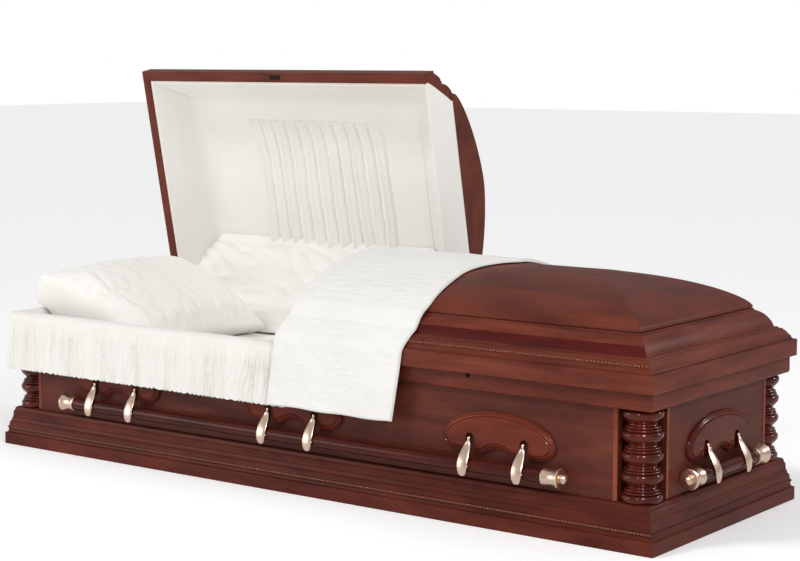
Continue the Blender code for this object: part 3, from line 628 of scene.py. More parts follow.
@dataclass
class Skin:
    """Grids of points gathered into one mesh, with each corner's run along and across the grain."""

    points: list[np.ndarray] = field(default_factory=list)
    runs: list[np.ndarray] = field(default_factory=list)
    faces: list[tuple[int, ...]] = field(default_factory=list)
    slots: list[int] = field(default_factory=list)
    count: int = 0

    def grid(
        self,
        points: np.ndarray,
        runs: np.ndarray | None = None,
        slot: int = 0,
        wrap: bool = False,
    ) -> Skin:
        """Add a grid of quads.

        Args:
            points: Array of shape (rows, columns, 3).
            runs: Array of shape (rows, columns, 2) with metres along and across the grain.
            slot: Number of the material slot.
            wrap: Whether the last column joins the first.

        Returns:
            The skin itself.
        """
        rows, columns = points.shape[:2]
        base = self.count
        self.points.append(points.reshape(-1, 3))
        run = np.zeros((rows * columns, 3))
        if runs is not None:
            run[:, :2] = runs.reshape(-1, 2)
        self.runs.append(run)
        self.count += rows * columns
        index = base + np.arange(rows * columns).reshape(rows, columns)
        if wrap:
            index = np.hstack([index, index[:, :1]])
        corners = (index[:-1, :-1], index[:-1, 1:], index[1:, 1:], index[1:, :-1])
        quads = np.stack(corners, axis=-1).reshape(-1, 4)
        self.faces.extend(map(tuple, quads.tolist()))
        self.slots.extend([slot] * len(quads))
        return self

    def cap(self, loop: np.ndarray, slot: int = 0) -> Skin:
        """Close a loop of points with one flat face.

        Args:
            loop: Array of shape (points, 3).
            slot: Number of the material slot.

        Returns:
            The skin itself.
        """
        base = self.count
        self.points.append(loop)
        self.runs.append(np.stack([loop[:, 0], loop[:, 1] + loop[:, 2], 0 * loop[:, 0]], axis=1))
        self.count += len(loop)
        self.faces.append(tuple(range(base, base + len(loop))))
        self.slots.append(slot)
        return self

    def bar(self, loops: np.ndarray, slot: int = 0) -> Skin:
        """Add closed loops that follow each other, with a flat face at both ends."""
        return self.grid(loops, slot=slot, wrap=True).cap(loops[0], slot).cap(loops[-1], slot)

    def cloth(self, face: np.ndarray, back: np.ndarray) -> Skin:
        """Add both sides of a cloth and close its four edges.

        Args:
            face: Array of shape (rows, columns, 3) for the outer side.
            back: The same for the inner side.

        Returns:
            The skin itself.
        """
        self.grid(face).grid(back)
        for end in (0, -1):
            self.grid(np.stack([face[end], back[end]]))
            self.grid(np.stack([face[:, end], back[:, end]]))
        return self

    def build(
        self,
        name: str,
        finishes: Sequence[Finish],
        sharp_deg: float = 40.0,
        matrix: Matrix | None = None,
    ) -> bpy.types.Object:
        """Make the object: weld the grids, turn the faces outwards and shade them smooth.

        Args:
            name: The object's name.
            finishes: One finish for each material slot.
            sharp_deg: Edges that turn by more than this stay sharp.
            matrix: Where to move the points, if anywhere.

        Returns:
            The new object, linked to the scene.
        """
        data = bpy.data.meshes.new(name)
        points = np.vstack(self.points)
        data.from_pydata(points.tolist(), [], self.faces)
        corner = np.empty(len(data.loops), dtype=np.int32)
        data.loops.foreach_get("vertex_index", corner)
        run = data.attributes.new("run", "FLOAT_VECTOR", "CORNER")
        run.data.foreach_set("vector", np.vstack(self.runs)[corner].ravel())
        data.polygons.foreach_set("material_index", self.slots)
        work = bmesh.new()
        work.from_mesh(data)
        bmesh.ops.remove_doubles(work, verts=work.verts, dist=1e-6)
        bmesh.ops.dissolve_degenerate(work, dist=1e-7, edges=work.edges)
        bmesh.ops.recalc_face_normals(work, faces=work.faces)
        if matrix is not None:
            bmesh.ops.transform(work, matrix=matrix, verts=work.verts)
        work.to_mesh(data)
        work.free()
        return dress(name, data, finishes, sharp_deg)


def dress(name: str, data: bpy.types.Mesh, finishes: Sequence[Finish], sharp_deg: float) -> bpy.types.Object:
    """Shade a mesh, give it its materials and link it as an object.

    Args:
        name: The object's name.
        data: The finished mesh.
        finishes: One finish for each material slot.
        sharp_deg: Edges that turn by more than this stay sharp.

    Returns:
        The new object.
    """
    data.shade_smooth()
    data.set_sharp_from_angle(angle=math.radians(sharp_deg))
    for finish in finishes:
        data.materials.append(finish.material())
    made = bpy.data.objects.new(name, data)
    bpy.context.scene.collection.objects.link(made)
    return made


def settle(piece: bpy.types.Object, body: Body | str, slot: str, *nodes: str) -> bpy.types.Object:
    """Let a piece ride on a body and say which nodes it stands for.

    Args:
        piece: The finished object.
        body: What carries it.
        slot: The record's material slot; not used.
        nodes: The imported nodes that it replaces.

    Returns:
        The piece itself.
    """
    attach(piece, body.value if isinstance(body, Body) else body)
    if nodes:
        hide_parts(*nodes)
    LOG.info("%s: %d faces", piece.name, len(piece.data.polygons))
    return piece


def straight_run(section: Outline, start: Callable[[float], Vector], end: Callable[[float], Vector]) -> tuple:
    """One straight stretch of moulding between two mitres.

    Args:
        section: The moulding's section.
        start: Gives the near end's place in plan for an inset.
        end: Gives the far end's place in plan for an inset.

    Returns:
        The grid of points and the runs that go with it.
    """
    across = section.lengths()
    points, runs = [], []
    for (inset, height), v in zip(section.points, across):
        a, b = start(inset), end(inset)
        along = (b - a).normalized()
        points.append([(a.x, a.y, height), (b.x, b.y, height)])
        runs.append([(a.dot(along), v), (b.dot(along), v)])
    return np.array(points), np.array(runs)


def mitred_frame(skin: Skin, section: Outline, half_length: float, half_width: float) -> None:
    """Sweep a section round a rectangle with mitred corners.

    Args:
        skin: What to add the frame to.
        section: The moulding's section.
        half_length: Half of the rectangle's length.
        half_width: Half of its width.
    """
    corners = [
        lambda d, sx=sx, sy=sy: Vector((sx * (half_length - d), sy * (half_width - d)))
        for sx, sy in ((1, -1), (1, 1), (-1, 1), (-1, -1))
    ]
    for k, (near, far) in enumerate(zip(corners, corners[1:] + corners[:1])):
        points, runs = straight_run(section, near, far)
        skin.grid(points, runs + np.array([3.1 * k, 0.37 * k]))


@dataclass
class Base:
    """The stepped and moulded base with its row of pearls."""

    size: Carcass = CASKET

    def section(self) -> Outline:
        """The base moulding from the floor up: plinth, pearl seat, two reeds and a scooped top.

        Returns:
            The section, closed on itself.
        """
        made = Outline([(0.0, 0.0)])
        made.line((0.0, 0.0310)).curve((0.0020, 0.0330), Hollow.SWELL, steps=4)
        made.line((0.0048, 0.0338)).curve((0.0078, 0.0430), Hollow.SCOOP, steps=5)
        made.line((0.0078, 0.0445)).bead((0.0076, 0.0515), 0.0020, steps=6)
        made.line((0.0086, 0.0518)).curve((0.0100, 0.0640), Hollow.SCOOP, fullness=0.5, steps=6)
        made.line((0.0118, 0.0655)).curve((0.0150, 0.0760), Hollow.SCOOP, fullness=0.7, steps=6)
        made.line((0.0168, 0.0768)).curve((0.0178, 0.0935), Hollow.SCOOP, fullness=0.35, steps=8)
        made.curve((0.0215, 0.1010), Hollow.SCOOP, fullness=0.5, steps=5)
        made.curve((0.0310, self.size.base_height), Hollow.SWELL, steps=6)
        ledge = self.size.notch_inset + self.size.wall_thickness
        rail = self.size.rail_width
        made.line((ledge, self.size.base_height), (ledge, self.size.base_height - 0.012))
        made.line((rail, self.size.base_height - 0.012), (rail, 0.0), (0.0, 0.0))
        return made

    def build(self) -> None:
        """Sweep the base moulding and set the pearls along its front."""
        skin = Skin()
        mitred_frame(skin, self.section(), self.size.half_length, self.size.half_width)
        settle(skin.build("base_moulding_fine", [BASE_WOOD], 32), Body.CARCASS, "wood", "base_moulding")
        half = self.size.half_length - 0.012
        y = -(self.size.half_width - 0.0052)
        pearls = pearl_row("base_pearls", half, y, 0.048, 0.0032)
        settle(pearls, Body.CARCASS, "wood")


def pearl_row(
    name: str, half: float, y: float, z: float, radius: float, start: float | None = None
) -> bpy.types.Object:
    """A straight row of small turned pearls along X.

    Args:
        name: The object's name.
        half: Where the row ends, towards the foot.
        y: The row's depth.
        z: The row's height.
        radius: Radius of one pearl.
        start: Where the row begins, or None for the mirrored end.

    Returns:
        The row as one object.
    """
    pitch = 0.0095
    first = -half if start is None else start
    count = int((half - first) / pitch)
    rings, sides = 5, 8
    tilt = (math.pi * np.arange(rings + 1) / rings)[:, None]
    angle = (2 * math.pi * np.arange(sides) / sides)[None, :]
    along = np.broadcast_to(-0.5 * pitch * np.cos(tilt), (rings + 1, sides))
    out = radius * np.sin(tilt)
    pearl = np.stack([along, y + out * np.cos(angle), z + out * np.sin(angle)], axis=-1)
    skin = Skin()
    for i in range(count + 1):
        skin.grid(pearl + np.array([first + pitch * i, 0.0, 0.0]), wrap=True)
    # The pearls' paler wood is a painted highlight.
    return skin.build(name, [PEARL_PAINTED_HIGHLIGHT], 80)


@dataclass
class Walls:
    """The four side boards with their corner returns, and the plain rail on top."""

    size: Carcass = CASKET
    strip_width: float = 0.0115
    strip_depth: float = 0.0012

    def build(self) -> None:
        """Board the sides and ends, and cap them with the rail."""
        size = self.size
        notch_x, notch_y = size.half_length - size.notch_inset, size.half_width - size.notch_inset
        face_x, face_y = size.wall_face_x, size.wall_face_y
        thick = size.wall_thickness
        long_half = [
            (notch_x, face_y),
            (notch_x, notch_y - thick),
            (notch_x - thick, notch_y - thick),
            (notch_x - thick, face_y - thick),
        ]
        long_plan = long_half + [(-x, y) for x, y in reversed(long_half)]
        end_half = [
            (face_x, notch_y),
            (notch_x + JOINT_GAP, notch_y),
            (notch_x + JOINT_GAP, notch_y - thick),
            (face_x - thick, notch_y - thick),
        ]
        end_plan = end_half + [(x, -y) for x, y in reversed(end_half)]
        strip_x, strip_y = notch_x - 0.5 * self.strip_width, notch_y - 0.5 * self.strip_width
        wide, deep = 0.5 * self.strip_width, self.strip_depth
        for node, sign in (("front_wall", -1), ("back_wall", 1)):
            plan = [(x, sign * y) for x, y in long_plan]
            strips = [(strip_x, sign * face_y), (-strip_x, sign * face_y)]
            self.board(node, plan, WALL_WOOD, strips, (wide, deep))
        for node, sign in (("foot_end_wall", 1), ("head_end_wall", -1)):
            plan = [(sign * x, y) for x, y in end_plan]
            strips = [(sign * face_x, strip_y), (sign * face_x, -strip_y)]
            self.board(node, plan, END_WOOD, strips, (deep, wide))
        self.rail()

    def board(
        self, node: str, plan: Sequence[Pair], finish: Finish, strips: Sequence[Pair], half: Pair
    ) -> None:
        """One wall as a straight prism on its plan, with a thin upright strip beside each column.

        Args:
            node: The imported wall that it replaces.
            plan: The wall's outline seen from above.
            finish: The wall's wood.
            strips: Where the strips stand.
            half: Half of a strip's size in plan.
        """
        low, high = self.size.wall_bottom, self.size.wall_top
        loops = [[(x, y, z) for x, y in plan] for z in (low, high)]
        skin = Skin().grid(np.array(loops), wrap=True)
        for loop in loops:
            skin.cap(np.array(loop))
        # The strips take the paler wood, a painted highlight beside each column.
        for x, y in strips:
            block(skin, (x, y, 0.5 * (low + high)), (*half, 0.5 * (high - low)), slot=1)
        settle(skin.build(f"{node}_board", [finish, STRIP_PAINTED_HIGHLIGHT], 20), Body.CARCASS, "wood", node)

    def rail(self) -> None:
        """The rail that the lid closes on, rounded along its lower edge."""
        size = self.size
        inner = size.wall_inset + size.wall_thickness
        made = Outline([(inner, size.rim_bottom)])
        radius = 0.006
        made.line((size.rim_inset + radius, size.rim_bottom))
        low, high = size.rim_inset + radius, size.rim_bottom
        for k in range(1, 9):
            angle = 0.5 * math.pi * k / 8
            made.line((low - radius * math.sin(angle), high + radius * (1 - math.cos(angle))))
        made.line((size.rim_inset, size.rim_top - 0.0012)).curve(
            (size.rim_inset + 0.0012, size.rim_top), Hollow.SWELL, steps=3
        )
        made.line((inner, size.rim_top), (inner, size.rim_bottom))
        skin = Skin()
        mitred_frame(skin, made, size.half_length, size.half_width)
        settle(skin.build("body_rail", [MOULDING], 32), Body.CARCASS, "wood", "body_rim")


@dataclass
class Columns:
    """The four turned corner columns: beads under pairs of thin rings."""

    size: Carcass = CASKET
    inset: float = 0.0694
    beads: int = 5
    first_bead: float = 0.0100
    pitch: float = 0.0483
    cap: float = 0.0022
    sides: int = 72
    turning: tuple[Pair, ...] = (
        (-22.4, 34.2), (-20.8, 35.2), (-16.4, 39.2), (-12.4, 42.8), (-9.4, 45.4), (-6.4, 47.4),
        (-3.2, 48.4), (0.0, 48.7), (2.8, 48.5), (5.0, 47.8), (7.0, 46.2), (8.3, 43.6), (8.8, 40.6),
        (9.4, 41.6), (10.3, 43.0), (11.6, 43.8), (12.9, 43.6), (14.1, 42.8), (15.1, 41.2), (15.6, 38.8),
        (16.3, 39.6), (17.3, 40.8), (18.6, 41.2), (20.0, 40.8), (21.2, 39.4), (22.0, 37.2), (23.4, 35.0),
        (25.0, 34.2),
    )

    def profile(self) -> list[Pair]:
        """The turned profile from the bottom up, one bead with the two rings above it at a time.

        Returns:
            Pairs of radius and height.
        """
        height = self.size.wall_top - self.size.wall_bottom - JOINT_GAP - self.cap
        made: list[Pair] = []
        for k in range(self.beads):
            middle = self.first_bead + self.pitch * k
            made += [(radius * MM, middle + z * MM) for z, radius in self.turning]
        low = [p for p in made if p[1] <= 0.0][-1]
        return [(low[0], 0.0)] + [p for p in made if 0.0002 < p[1] < height - 0.0002] + [(0.0375, height)]

    def build(self) -> None:
        """Turn one column in each corner notch, cut flat against the notch's two faces."""
        size = self.size
        to_notch = size.notch_inset - self.inset - JOINT_GAP
        to_face = self.inset - size.wall_inset
        height = size.wall_top - size.wall_bottom - JOINT_GAP
        angles = 2 * math.pi * np.arange(self.sides) / self.sides
        c, s = np.cos(angles), np.sin(angles)
        loops = []
        for radius, z in self.profile():
            x, y = np.maximum(-to_notch, radius * c), np.maximum(-to_notch, radius * s)
            loops.append(np.stack([x, y, np.full_like(x, z)], axis=1))
        reach_x = np.where(c > 0, to_face, to_notch) / np.maximum(np.abs(c), 1e-9)
        reach_y = np.where(s > 0, to_face, to_notch) / np.maximum(np.abs(s), 1e-9)
        reach = np.minimum(reach_x, reach_y)
        for z in (height - self.cap, height):
            loops.append(np.stack([c * reach, s * reach, np.full_like(c, z)], axis=1))
        grid = np.array(loops)
        grid[:, :, 2] += size.wall_bottom
        corners = {"foot_front": (1, -1), "foot_back": (1, 1), "head_back": (-1, 1), "head_front": (-1, -1)}
        for name, (sx, sy) in corners.items():
            placed = grid * np.array([sx, sy, 1]) + np.array(
                [sx * (size.half_length - self.inset), sy * (size.half_width - self.inset), 0.0]
            )
            made = Skin().bar(placed).build(f"turned_column_{name}", [TURNED], 50)
            settle(made, Body.CARCASS, "turned_wood", f"column_{name}")


@dataclass
class Handles:
    """Moulded plates, leaf-shaped arms, glossy bars and metal tips on all four sides."""

    size: Carcass = CASKET
    plate_half: float = 0.1585
    plate_top: float = 0.278
    plate_middle: float = 0.207
    plate_bottom: float = 0.173
    plate_thickness: float = 0.012
    arch_half: float = 0.041
    arch_rise: float = 0.016
    slot_width: float = 0.025
    slot_top: float = 0.221
    pitch: float = 0.6325
    spread: float = 0.077
    pivot_out: float = 0.0155
    pivot_z: float = 0.207
    bar_out: float = 0.0255
    bar_z: float = 0.146
    bar_radius: float = 0.0165
    arm_thickness: float = 0.005
    arm_half: float = 0.0149
    arm_bottom: float = 0.121
    knuckle: float = 0.0058
    side_half: float = 0.774
    end_half: float = 0.137
    tip_length: float = 0.046
    tip_radius: float = 0.0252
    knob_length: float = 0.019
    knob_radius: float = 0.0128

    def outline(self) -> np.ndarray:
        """A plate's outline: an oval top, rounded lobes and an arch between them.

        Returns:
            Array of (x, z) rows.
        """
        half, lobe = self.plate_half, 0.3 * self.plate_half
        drop = self.plate_middle - self.plate_bottom
        points: list[Pair] = []
        for angle in np.linspace(0, math.pi, 61):
            rise = (self.plate_top - self.plate_middle) * math.sin(angle)
            points.append((half * math.cos(angle), self.plate_middle + rise))
        for angle in np.linspace(0, 0.5 * math.pi, 15)[1:]:
            points.append((-half + lobe * (1 - math.cos(angle)), self.plate_middle - drop * math.sin(angle)))
        for x in np.linspace(-self.arch_half, self.arch_half, 17):
            points.append((x, self.plate_bottom + self.arch_rise * (1 - (x / self.arch_half) ** 2)))
        for angle in np.linspace(0.5 * math.pi, 0, 15)[:-1]:
            points.append((half - lobe * (1 - math.cos(angle)), self.plate_middle - drop * math.sin(angle)))
        return np.array(points)

    def shrunk(self, outline: np.ndarray, distance: float) -> np.ndarray:
        """The outline moved inwards.

        Args:
            outline: Array of (x, z) rows.
            distance: How far to move it.

        Returns:
            An array of the same shape.
        """
        before, after = outline - np.roll(outline, 1, 0), np.roll(outline, -1, 0) - outline
        before /= np.linalg.norm(before, axis=1)[:, None]
        after /= np.linalg.norm(after, axis=1)[:, None]
        normal = np.stack([-(before + after)[:, 1], (before + after)[:, 0]], axis=1)
        normal /= np.linalg.norm(normal, axis=1)[:, None]
        spread = normal[:, 0] * -before[:, 1] + normal[:, 1] * before[:, 0]
        return outline + normal * (distance / np.maximum(0.55, spread))[:, None]

    def plate_mesh(self) -> bpy.types.Mesh:
        """A plate with a rounded edge and two cut grooves, and a round-topped slot for each arm.

        Returns:
            The plate's mesh, at the middle of the front.
        """
        thick = self.plate_thickness
        levels = [(0.0, JOINT_GAP), (0.0, 0.0045)]
        for angle in np.linspace(0, 0.5 * math.pi, 6)[1:]:
            levels.append((0.003 * (1 - math.cos(angle)), 0.0045 + 0.003 * math.sin(angle)))
        levels += [(0.0042, 0.0062), (0.0050, 0.0076)]
        for t in np.linspace(0, 1, 7)[1:]:
            levels.append((0.0050 + 0.0062 * t, 0.0076 + 0.0028 * math.sin(0.5 * math.pi * t)))
        levels += [(0.0120, 0.0088), (0.0130, 0.0108), (0.0145, thick)]
        outline = self.outline()
        loops = []
        for inward, depth in levels:
            ring = self.shrunk(outline, inward)
            loops.append(np.stack([ring[:, 0], np.full(len(ring), -depth), ring[:, 1]], axis=1))
        plate = Skin().bar(np.array(loops)).build("plate_blank", [PLATE_WOOD], 30)
        cutters = []
        for side in (-1, 1):
            radius, middle = 0.5 * self.slot_width, side * self.spread
            arc = [
                (middle + radius * math.cos(a), self.slot_top - radius + radius * math.sin(a))
                for a in np.linspace(0, math.pi, 17)
            ]
            low = self.plate_bottom - 0.02
            shape = np.array([(middle + radius, low)] + arc + [(middle - radius, low)])
            depths = (0.01, -0.03)
            ends = [np.column_stack([shape[:, 0], np.full(len(shape), y), shape[:, 1]]) for y in depths]
            cutter = Skin().bar(np.array(ends)).build("slot_cutter", [PLATE_WOOD], 30)
            cut = plate.modifiers.new("slot", "BOOLEAN")
            cut.operation = "DIFFERENCE"
            cut.object = cutter
            cutters.append(cutter)
        graph = bpy.context.evaluated_depsgraph_get()
        data = bpy.data.meshes.new_from_object(plate.evaluated_get(graph))
        for helper in [*cutters, plate]:
            bpy.data.objects.remove(helper, do_unlink=True)
        data.materials.clear()
        return data

    def arm_skin(self) -> Skin:
        """A leaf-shaped arm measured from its pivot, bowed out over the bar, with a stud on one edge.

        Returns:
            The arm's skin.
        """
        front = -(self.bar_out - self.pivot_out + self.bar_radius + 0.5 * self.arm_thickness + JOINT_GAP)
        drop, thin, knuckle = self.pivot_z - self.arm_bottom, 0.5 * self.arm_thickness, self.knuckle
        knots = [
            (knuckle, 0.0, 0.0012, 0.0012),
            (0.80 * knuckle, 0.0, 0.0030, 0.0030),
            (0.15 * knuckle, 0.02 * front, 0.0040, 0.0040),
            (-0.55 * knuckle, 0.06 * front, 0.0032, 0.0032),
            (-0.95 * knuckle, 0.12 * front, 0.0050, 0.0036),
            (-0.17 * drop, 0.26 * front, 0.0092, 1.2 * thin),
            (-0.30 * drop, 0.50 * front, 0.0122, 1.3 * thin),
            (-0.44 * drop, 0.74 * front, 0.0142, 1.3 * thin),
            (-0.58 * drop, 0.93 * front, self.arm_half, 1.2 * thin),
            (-0.72 * drop, 1.03 * front, 0.0146, 1.1 * thin),
            (-0.85 * drop, 1.05 * front, 0.0126, thin),
            (-0.94 * drop, 1.03 * front, 0.0098, 0.9 * thin),
            (-0.985 * drop, 1.01 * front, 0.0062, 0.7 * thin),
            (-drop, front, 0.0014, 0.2 * thin),
        ]
        stations = through(knots, 60)
        angles = 2 * math.pi * np.arange(28) / 28
        loops = []
        for z, y, half, depth in stations:
            x = half * np.sign(np.cos(angles)) * np.abs(np.cos(angles)) ** 0.9
            out = depth * np.sign(np.sin(angles)) * np.abs(np.sin(angles)) ** 0.9
            loops.append(np.stack([x, y - out, np.full_like(x, z)], axis=1))
        stud = turned([(-0.002, 0.0022), (0.0022, 0.0024), (0.0034, 0.0016), (0.0038, 0.0002)], 12)
        stud += np.array([self.arm_half - 0.0015, front, self.bar_z - self.pivot_z])
        return Skin().bar(np.array(loops)).bar(stud)

    def tip_grids(self, side: int) -> list[np.ndarray]:
        """A waisted collar and its domed knob, turned about X from the bar outwards.

        Args:
            side: 1 for a tip that points along X, -1 for the other end.

        Returns:
            One grid for the collar and one for the knob.
        """
        length, radius = self.tip_length, self.tip_radius
        collar = [
            (0.0, 0.74), (0.01, 0.82), (0.05, 0.85), (0.16, 0.83), (0.32, 0.79), (0.48, 0.785),
            (0.64, 0.82), (0.80, 0.90), (0.92, 0.975), (0.98, 1.0), (1.02, 0.985), (1.045, 0.92),
            (1.06, 0.80), (1.065, 0.50),
        ]
        knob = [
            (0.0, 0.70), (0.06, 0.74), (0.10, 0.86), (0.22, 0.98), (0.40, 1.0), (0.60, 0.93),
            (0.80, 0.74), (0.94, 0.42), (1.0, 0.10),
        ]
        made = []
        for shape, start, long, wide in (
            (collar, 0.0, length, radius),
            (knob, 1.06 * length, self.knob_length - 0.06 * length, self.knob_radius),
        ):
            line = through([(start + long * x, wide * r) for x, r in shape], 40)
            made.append(turned([(side * x, max(r, 0.0004)) for x, r in line], 40))
        return made

    def build(self) -> None:
        """Set plates, arms, bars and tips on each side of the casket."""
        plate = self.plate_mesh()
        size = self.size
        places = (-self.pitch, 0.0, self.pitch)
        runs = [
            ("front", places, self.side_half, size.wall_face_y, 0.0),
            ("foot_end", (0.0,), self.end_half, size.wall_face_x, 0.5 * math.pi),
            ("back", places, self.side_half, size.wall_face_y, math.pi),
            ("head_end", (0.0,), self.end_half, size.wall_face_x, 1.5 * math.pi),
        ]
        for side, centres, half, face, turn in runs:
            spin = Matrix.Rotation(turn, 4, "Z")
            lengthwise = len(centres) > 1
            carrier = f"{side}_handle"
            for number, centre in enumerate(centres, 1):
                node = f"{side}_plate_{number}" if lengthwise else f"{side}_plate"
                data = plate.copy()
                data.transform(spin @ Matrix.Translation((centre, -face, 0.0)))
                wood = PLATE_WOOD if lengthwise else END_PLATE_WOOD
                settle(dress(f"{node}_moulded", data, [wood], 30), Body.CARCASS, "wood", node)
                for step, hand in enumerate((-1, 1)):
                    index = 2 * number - 1 + step
                    pivot = (centre + hand * self.spread, -(face + self.pivot_out), self.pivot_z)
                    spot = Matrix.Translation(pivot)
                    arm = self.arm_skin().build(f"{side}_arm_{index}_cast", [CHAMPAGNE], 50, spin @ spot)
                    settle(arm, carrier, "brass", f"{side}_arm_{index}")
            spot = Matrix.Translation((0.0, -(face + self.bar_out), self.bar_z))
            rod = turned([(x, self.bar_radius) for x in np.linspace(-half, half, 25)], 48)
            finish = BAR_WOOD if lengthwise else END_BAR_WOOD
            bar = Skin().bar(rod).build(f"{side}_rod", [finish], 50, spin @ spot)
            settle(bar, carrier, "turned_wood", f"{side}_bar")
            for label, hand in (("left", -1), ("right", 1)):
                skin = Skin()
                for grid in self.tip_grids(hand):
                    grid[:, :, 0] += hand * (half + JOINT_GAP)
                    skin.bar(grid)
                tip = skin.build(f"{side}_tip_{label}_cast", [CHAMPAGNE], 35, spin @ spot)
                settle(tip, carrier, "brass", f"{side}_tip_{label}")


def turned(profile: Sequence[Pair], sides: int) -> np.ndarray:
    """A grid turned about the X axis.

    Args:
        profile: Pairs of x and radius.
        sides: How many faces go round it.

    Returns:
        Array of shape (pairs, sides, 3).
    """
    line = np.array(profile)
    angles = 2 * math.pi * (np.arange(sides) + 0.5) / sides
    x = np.repeat(line[:, :1], sides, axis=1)
    return np.stack([x, line[:, 1:] * np.cos(angles), line[:, 1:] * np.sin(angles)], axis=-1)


@dataclass
class LidHalf:
    """One half of the lid: moulded frame, hipped crown with its header, lining, piping and hinge."""

    prefix: str
    body: Body
    side: int
    cut: float
    pleated: bool
    size: Carcass = CASKET
    seat: float = 0.1215
    crown_inset: float = 0.085
    crown_edge: float = 0.0087
    crown_rise: float = 0.094
    crown_shell: float = 0.012
    crown_foot: float = 0.1003
    header: float = 0.019
    header_drop: float = 0.0043
    hip_rounding: float = 0.6

    def placed(self) -> Matrix:
        """Mirror for the head half and the turn to its open stop."""
        flip = Matrix.Diagonal((self.side, 1, 1, 1))
        return self.size.opened() @ flip if self.body is Body.HEAD_LID else flip

    def section(self) -> tuple[Outline, Outline, Outline]:
        """The moulding's section, from the seam up and back down inside.

        Returns:
            What lies below the ogee, the ogee, and the rest.
        """
        low = Outline([(0.0, 0.0)])
        low.line((0.0, 0.0395)).curve((0.0022, 0.0418), Hollow.SWELL, steps=4)
        low.line((0.0088, 0.0425), (0.0088, 0.0448)).curve((0.0120, 0.0512), Hollow.SCOOP, steps=5)
        low.line((0.0130, 0.0520), (0.0150, 0.0530)).line((0.0215, 0.0630), (0.0240, 0.0645))
        low.line((0.0255, 0.0655)).curve((0.0330, 0.0700), Hollow.SWELL, steps=6)
        low.line((0.0345, 0.0702)).curve((0.0385, 0.0738), Hollow.SWELL, steps=4)
        low.line((0.0435, 0.0745))
        ogee = Outline([(0.0435, 0.0745)])
        ogee.line((0.0440, 0.0760)).curve((0.0760, 0.1155), Hollow.SWELL, fullness=0.55, steps=14)
        rest = Outline(ogee.points[7:])
        ogee.points = ogee.points[:8]
        rest.curve((0.0800, 0.1168), Hollow.SWELL, steps=3).line((0.0812, self.seat))
        rest.line((self.crown_foot - JOINT_GAP, self.seat), (self.crown_foot - JOINT_GAP, 0.1105))
        hollow = [(0.1000, 0.1105), (0.083, 0.0890), (0.064, 0.0635), (0.040, 0.0305), (0.027, 0.0105)]
        inner = through(hollow, 16)
        rest.line(*[tuple(p) for p in inner]).line((0.0275, 0.004), (0.029, 0.0), (0.0, 0.0))
        for part in (low, ogee, rest):
            part.points = [(d, z + self.size.lid_bottom) for d, z in part.points]
        return low, ogee, rest

    def frame(self) -> None:
        """Sweep the moulding round three sides and close its sawn ends."""
        length, width = self.size.lid_half_length, self.size.lid_half_width
        stations: list[Callable[[float], Vector]] = [
            lambda d: Vector((self.cut, d - width)),
            lambda d: Vector((length - d, d - width)),
            lambda d: Vector((length - d, width - d)),
            lambda d: Vector((self.cut, width - d)),
        ]
        skin = Skin()
        parts = self.section()
        # The ogee's lower half on the front run takes the painted-shade wood; the other runs keep the plain
        # moulding.
        for part, slot in zip(parts, (0, 1, 0)):
            for k in range(3):
                points, runs = straight_run(part, stations[k], stations[k + 1])
                shift = np.array([2.3 * k + 5 * self.side, 0.4 * k])
                skin.grid(points, runs + shift, slot if k == 0 else 0)
        loop = parts[0].points + parts[1].points[1:] + parts[2].points[1:-1]
        for sign in (-1, 1):
            skin.cap(np.array([(self.cut, sign * (width - d), z) for d, z in loop]))
        made = skin.build(f"{self.prefix}_lid_moulding", [MOULDING, OGEE_PAINTED_SHADE], 32, self.placed())
        settle(made, self.body, "wood", f"{self.prefix}_lid_frame")

    def height(self, t: float, low: float, rise: float) -> float:
        """Height of the crown where t runs from 0 at the ridge to 1 at the edge."""
        return low + rise * max(0.0, 1 - t**1.6) ** 0.75

    def contours(self, cut: float, end: float, half_width: float, low: float, rise: float) -> np.ndarray:
        """Contour lines of the crown, sharp-cornered at the edge and rounder towards the ridge.

        Args:
            cut: X of the end where the lid is parted.
            end: X of the far edge.
            half_width: Half of the crown's width at its edge.
            low: Height of the edge.
            rise: How far the ridge stands above the edge.

        Returns:
            Array of shape (contours, points, 3), from the edge to the ridge.
        """
        loops = []
        for share in np.linspace(0, 1, 40):
            t = 1 - share**1.7
            half, tip = half_width * t, end - half_width * (1 - t)
            rounding = min(0.9 * half, self.hip_rounding * half_width * (1 - t) ** 3)
            corner = []
            for angle in np.linspace(-0.5 * math.pi, 0, 15):
                x = tip - rounding + rounding * math.cos(angle)
                corner.append((x, -half + rounding + rounding * math.sin(angle)))
            start = corner[0][0]
            along = [(cut + (start - cut) * u, -half) for u in np.linspace(0, 1, 13)[:-1]]
            across = [(tip, (-half + rounding) * (1 - u)) for u in np.linspace(0, 1, 5)[1:-1]]
            side = along + corner + across
            plan = side + [(tip, 0.0)] + [(x, -y) for x, y in reversed(side)]
            z = self.height(t, low, rise)
            loops.append([(x, y, z) for x, y in plan])
        return np.array(loops)

